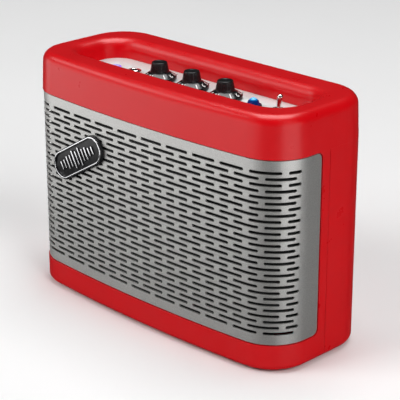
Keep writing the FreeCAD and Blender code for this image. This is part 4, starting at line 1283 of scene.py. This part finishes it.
# ------------------------------------------------------------------------------------------ back and foot
@dataclass
class RearPanel:
    """The connector panel with its power inlet, charging socket and screws."""

    contacts: int = 4
    contact_step: float = 2.1 * MM
    contact_half: float = 0.5 * MM
    plate_ease: float = 0.2 * MM

    def build(self) -> None:
        """Builds the plate and the socket contacts, and dresses the rest."""
        plate = Workpiece.copied("port_plate", "rear_panel").eased(self.plate_ease, 2)
        plate.shown(Palette.PORT, Body.CABINET, Slot.BAFFLE, ["rear_panel"])
        dress(Palette.BLACKED, "rear_panel_screws")
        dress(Palette.PORT, "dc_inlet")
        dress(Palette.STEEL, "usb_port")
        low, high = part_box("usb_port")
        springs = Workpiece("charging_contacts")
        for number in range(self.contacts):
            x = (low.x + high.x) / 2 + (number - (self.contacts - 1) / 2) * self.contact_step
            z = (low.z + high.z) / 2 + 0.15 * MM
            springs.block(Vector((x - self.contact_half, high.y - 7 * MM, z - 0.12 * MM)),
                          Vector((x + self.contact_half, high.y - 1.9 * MM, z + 0.08 * MM)), 0.04 * MM)
        springs.shown(Palette.GOLD, Body.CABINET, Slot.BRIGHT)


@dataclass
class Feet:
    """Four rubber feet with ringed soles."""

    seats: tuple[Pair, ...] = ((66, -20), (66, 21), (-66, -20), (-66, 21))
    radius: float = 6 * MM

    def build(self) -> None:
        """Spins the feet."""
        low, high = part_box("rubber_feet")
        tall, radius = high.z - low.z, self.radius
        profile = [
            (0, 0.35 * MM), (1.2 * MM, 0.35 * MM), (1.35 * MM, 0), (2.2 * MM, 0), (2.35 * MM, 0.3 * MM),
            (3.1 * MM, 0.3 * MM), (3.25 * MM, 0), (4.9 * MM, 0), (5.35 * MM, 0.12 * MM), (5.7 * MM, 0.4 * MM),
            (5.9 * MM, 0.8 * MM), (radius, tall * 0.55), (radius, tall), (0, tall),
        ]
        feet = Workpiece("round_feet")
        for x, y in self.seats:
            feet.turned(profile, Vector((x * MM, y * MM, low.z)), 64)
        feet.shown(Palette.RUBBER, Body.CABINET, Slot.RUBBER, ["rubber_feet"])


# ------------------------------------------------------------------------------------------ inside
@dataclass
class Loudspeakers:
    """The two woofers and the tweeter on their baffle, behind the cloth."""

    sides: tuple[str, ...] = ("left", "right")

    def build(self) -> None:
        """Dresses the baffle and the drivers."""
        dress(Palette.BAFFLE, "front_baffle")
        for side in self.sides:
            dress(Palette.BASKET, f"{side}_woofer_basket")
            dress(Palette.MAGNET, f"{side}_woofer_magnet")
            dress(Palette.RUBBER, f"{side}_woofer_surround")
            dress(Palette.CONE, f"{side}_woofer_cone", f"{side}_woofer_dust_cap")
        dress(Palette.BASKET, "tweeter_frame")
        dress(Palette.MAGNET, "tweeter_magnet")
        dress(Palette.CONE, "tweeter_dome")
        dress(Palette.STEEL, "driver_screws")


@dataclass
class Electronics:
    """The boards, battery and ribbon cable inside the cabinet."""

    def build(self) -> None:
        """Dresses the electronics."""
        dress(Palette.BOARD, "control_board", "main_board", "wireless_module")
        dress(Palette.STEEL, "board_screws")
        dress(Palette.WRAP, "battery_cells")
        dress(Palette.PORT, "battery_cradle")
        dress(Palette.RIBBON, "ribbon_cable")


# ------------------------------------------------------------------------------------------ studio
class Reach(Enum):
    """What a light shows in, as its visibility to matt surfaces and to reflections."""

    MATT = (True, False)
    MIRRORED = (False, True)


@dataclass(frozen=True)
class Softbox:
    """A rectangular soft light that stands round the amplifier and faces it."""

    name: str
    azimuth: float
    elevation: float
    away: float
    size: Pair
    watts: float
    reach: Reach

    def hang(self, aim: Vector) -> None:
        """Hangs the light.

        Args:
            aim: The point that it faces.
        """
        lamp = bpy.data.lights.new(self.name, "AREA")
        lamp.shape = "RECTANGLE"
        lamp.size, lamp.size_y = self.size
        lamp.energy = self.watts
        light = bpy.data.objects.new(self.name, lamp)
        outward = heading(self.azimuth, self.elevation)
        light.location = aim + outward * self.away
        light.rotation_euler = (-outward).to_track_quat("-Z", "Y").to_euler()
        light.visible_diffuse, light.visible_glossy = self.reach.value
        light.visible_camera = False
        bpy.context.scene.collection.objects.link(light)


def heading(azimuth: float, elevation: float) -> Vector:
    """Gives the unit vector at an azimuth from the front to the right and an elevation, in degrees."""
    around, up = math.radians(azimuth), math.radians(elevation)
    return Vector((math.sin(around) * math.cos(up), -math.cos(around) * math.cos(up), math.sin(up)))


@dataclass
class Studio:
    """The plain pale floor, the soft lights and the camera."""

    floor_half: float = 4
    world: Colour = (0.03, 0.03, 0.03)
    azimuth: float = 44.85
    elevation: float = 20.94
    distance: float = 795.21 * MM
    aim: Vector = field(default_factory=lambda: Vector((5.92 * MM, 0, 62.49 * MM)))
    lens: float = 137.0
    lights: tuple[Softbox, ...] = (
        Softbox("left key", -30, 35, 2.6, (1.4, 1.4), 36, Reach.MATT),
        Softbox("right key", 80, 35, 2.6, (1.4, 1.4), 36, Reach.MATT),
        Softbox("overhead key", 180, 80, 2.6, (1.6, 1.6), 34, Reach.MATT),
        Softbox("overhead reflector", 225, 82, 1.0, (0.8, 0.8), 16, Reach.MIRRORED),
        Softbox("left key reflector", -62, 38, 1.3, (0.7, 0.4), 3.4, Reach.MIRRORED),
        Softbox("front reflector", -35.5, 3.4, 0.6, (1.14, 0.405), 2.75, Reach.MIRRORED),
        Softbox("side reflector", 81.5, 1.9, 0.6, (0.46, 0.435), 1.3, Reach.MIRRORED),
    )

    def build(self) -> None:
        """Sets the stage."""
        self.floor()
        self.surroundings()
        for light in self.lights:
            light.hang(self.aim)
        self.camera()

    def floor(self) -> None:
        """Lays the floor, which takes shadows but does not show in the gloss of the plastic."""
        made = bmesh.new()
        bmesh.ops.create_grid(made, x_segments=8, y_segments=8, size=self.floor_half)
        mesh = bpy.data.meshes.new("studio_floor")
        made.to_mesh(mesh)
        made.free()
        mesh.materials.append(Palette.FLOOR.material())
        floor = bpy.data.objects.new("studio_floor", mesh)
        floor.visible_glossy = False
        floor.visible_shadow = False
        bpy.context.scene.collection.objects.link(floor)

    def surroundings(self) -> None:
        """Fills the room with a faint even light."""
        world = bpy.data.worlds.new("studio")
        world.use_nodes = True
        world.node_tree.nodes["Background"].inputs["Color"].default_value = opaque(self.world)
        bpy.context.scene.world = world
        bpy.context.scene.view_settings.view_transform = "Standard"

    def camera(self) -> None:
        """Sets the camera up."""
        back = heading(self.azimuth, self.elevation)
        data = bpy.data.cameras.new("studio camera")
        data.lens = self.lens
        data.sensor_width = 36
        data.clip_start = 0.05
        camera = bpy.data.objects.new("studio camera", data)
        camera.location = self.aim + back * self.distance
        camera.rotation_euler = (-back).to_track_quat("-Z", "Y").to_euler()
        bpy.context.scene.collection.objects.link(camera)
        bpy.context.scene.camera = camera


def main() -> None:
    """Builds every sub-assembly in order."""
    logging.basicConfig(level=logging.INFO, format="%(name)s: %(message)s")
    parts = [
        Studio(), Cabinet(), Grille(), Badge(), ControlPanel(), KnobMounts(),
        SkirtedKnob("volume_knob", Body.VOLUME), SkirtedKnob("treble_knob", Body.TREBLE),
        SkirtedKnob("bass_knob", Body.BASS), PairingButton(), AuxSocket(), JewelLight(), ToggleSwitch(),
        RearPanel(), Feet(), Loudspeakers(), Electronics(),
    ]
    for part in parts:
        part.build()
        log.info("%s is in place", type(part).__name__)


if __name__ == "__main__":
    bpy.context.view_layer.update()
    main()
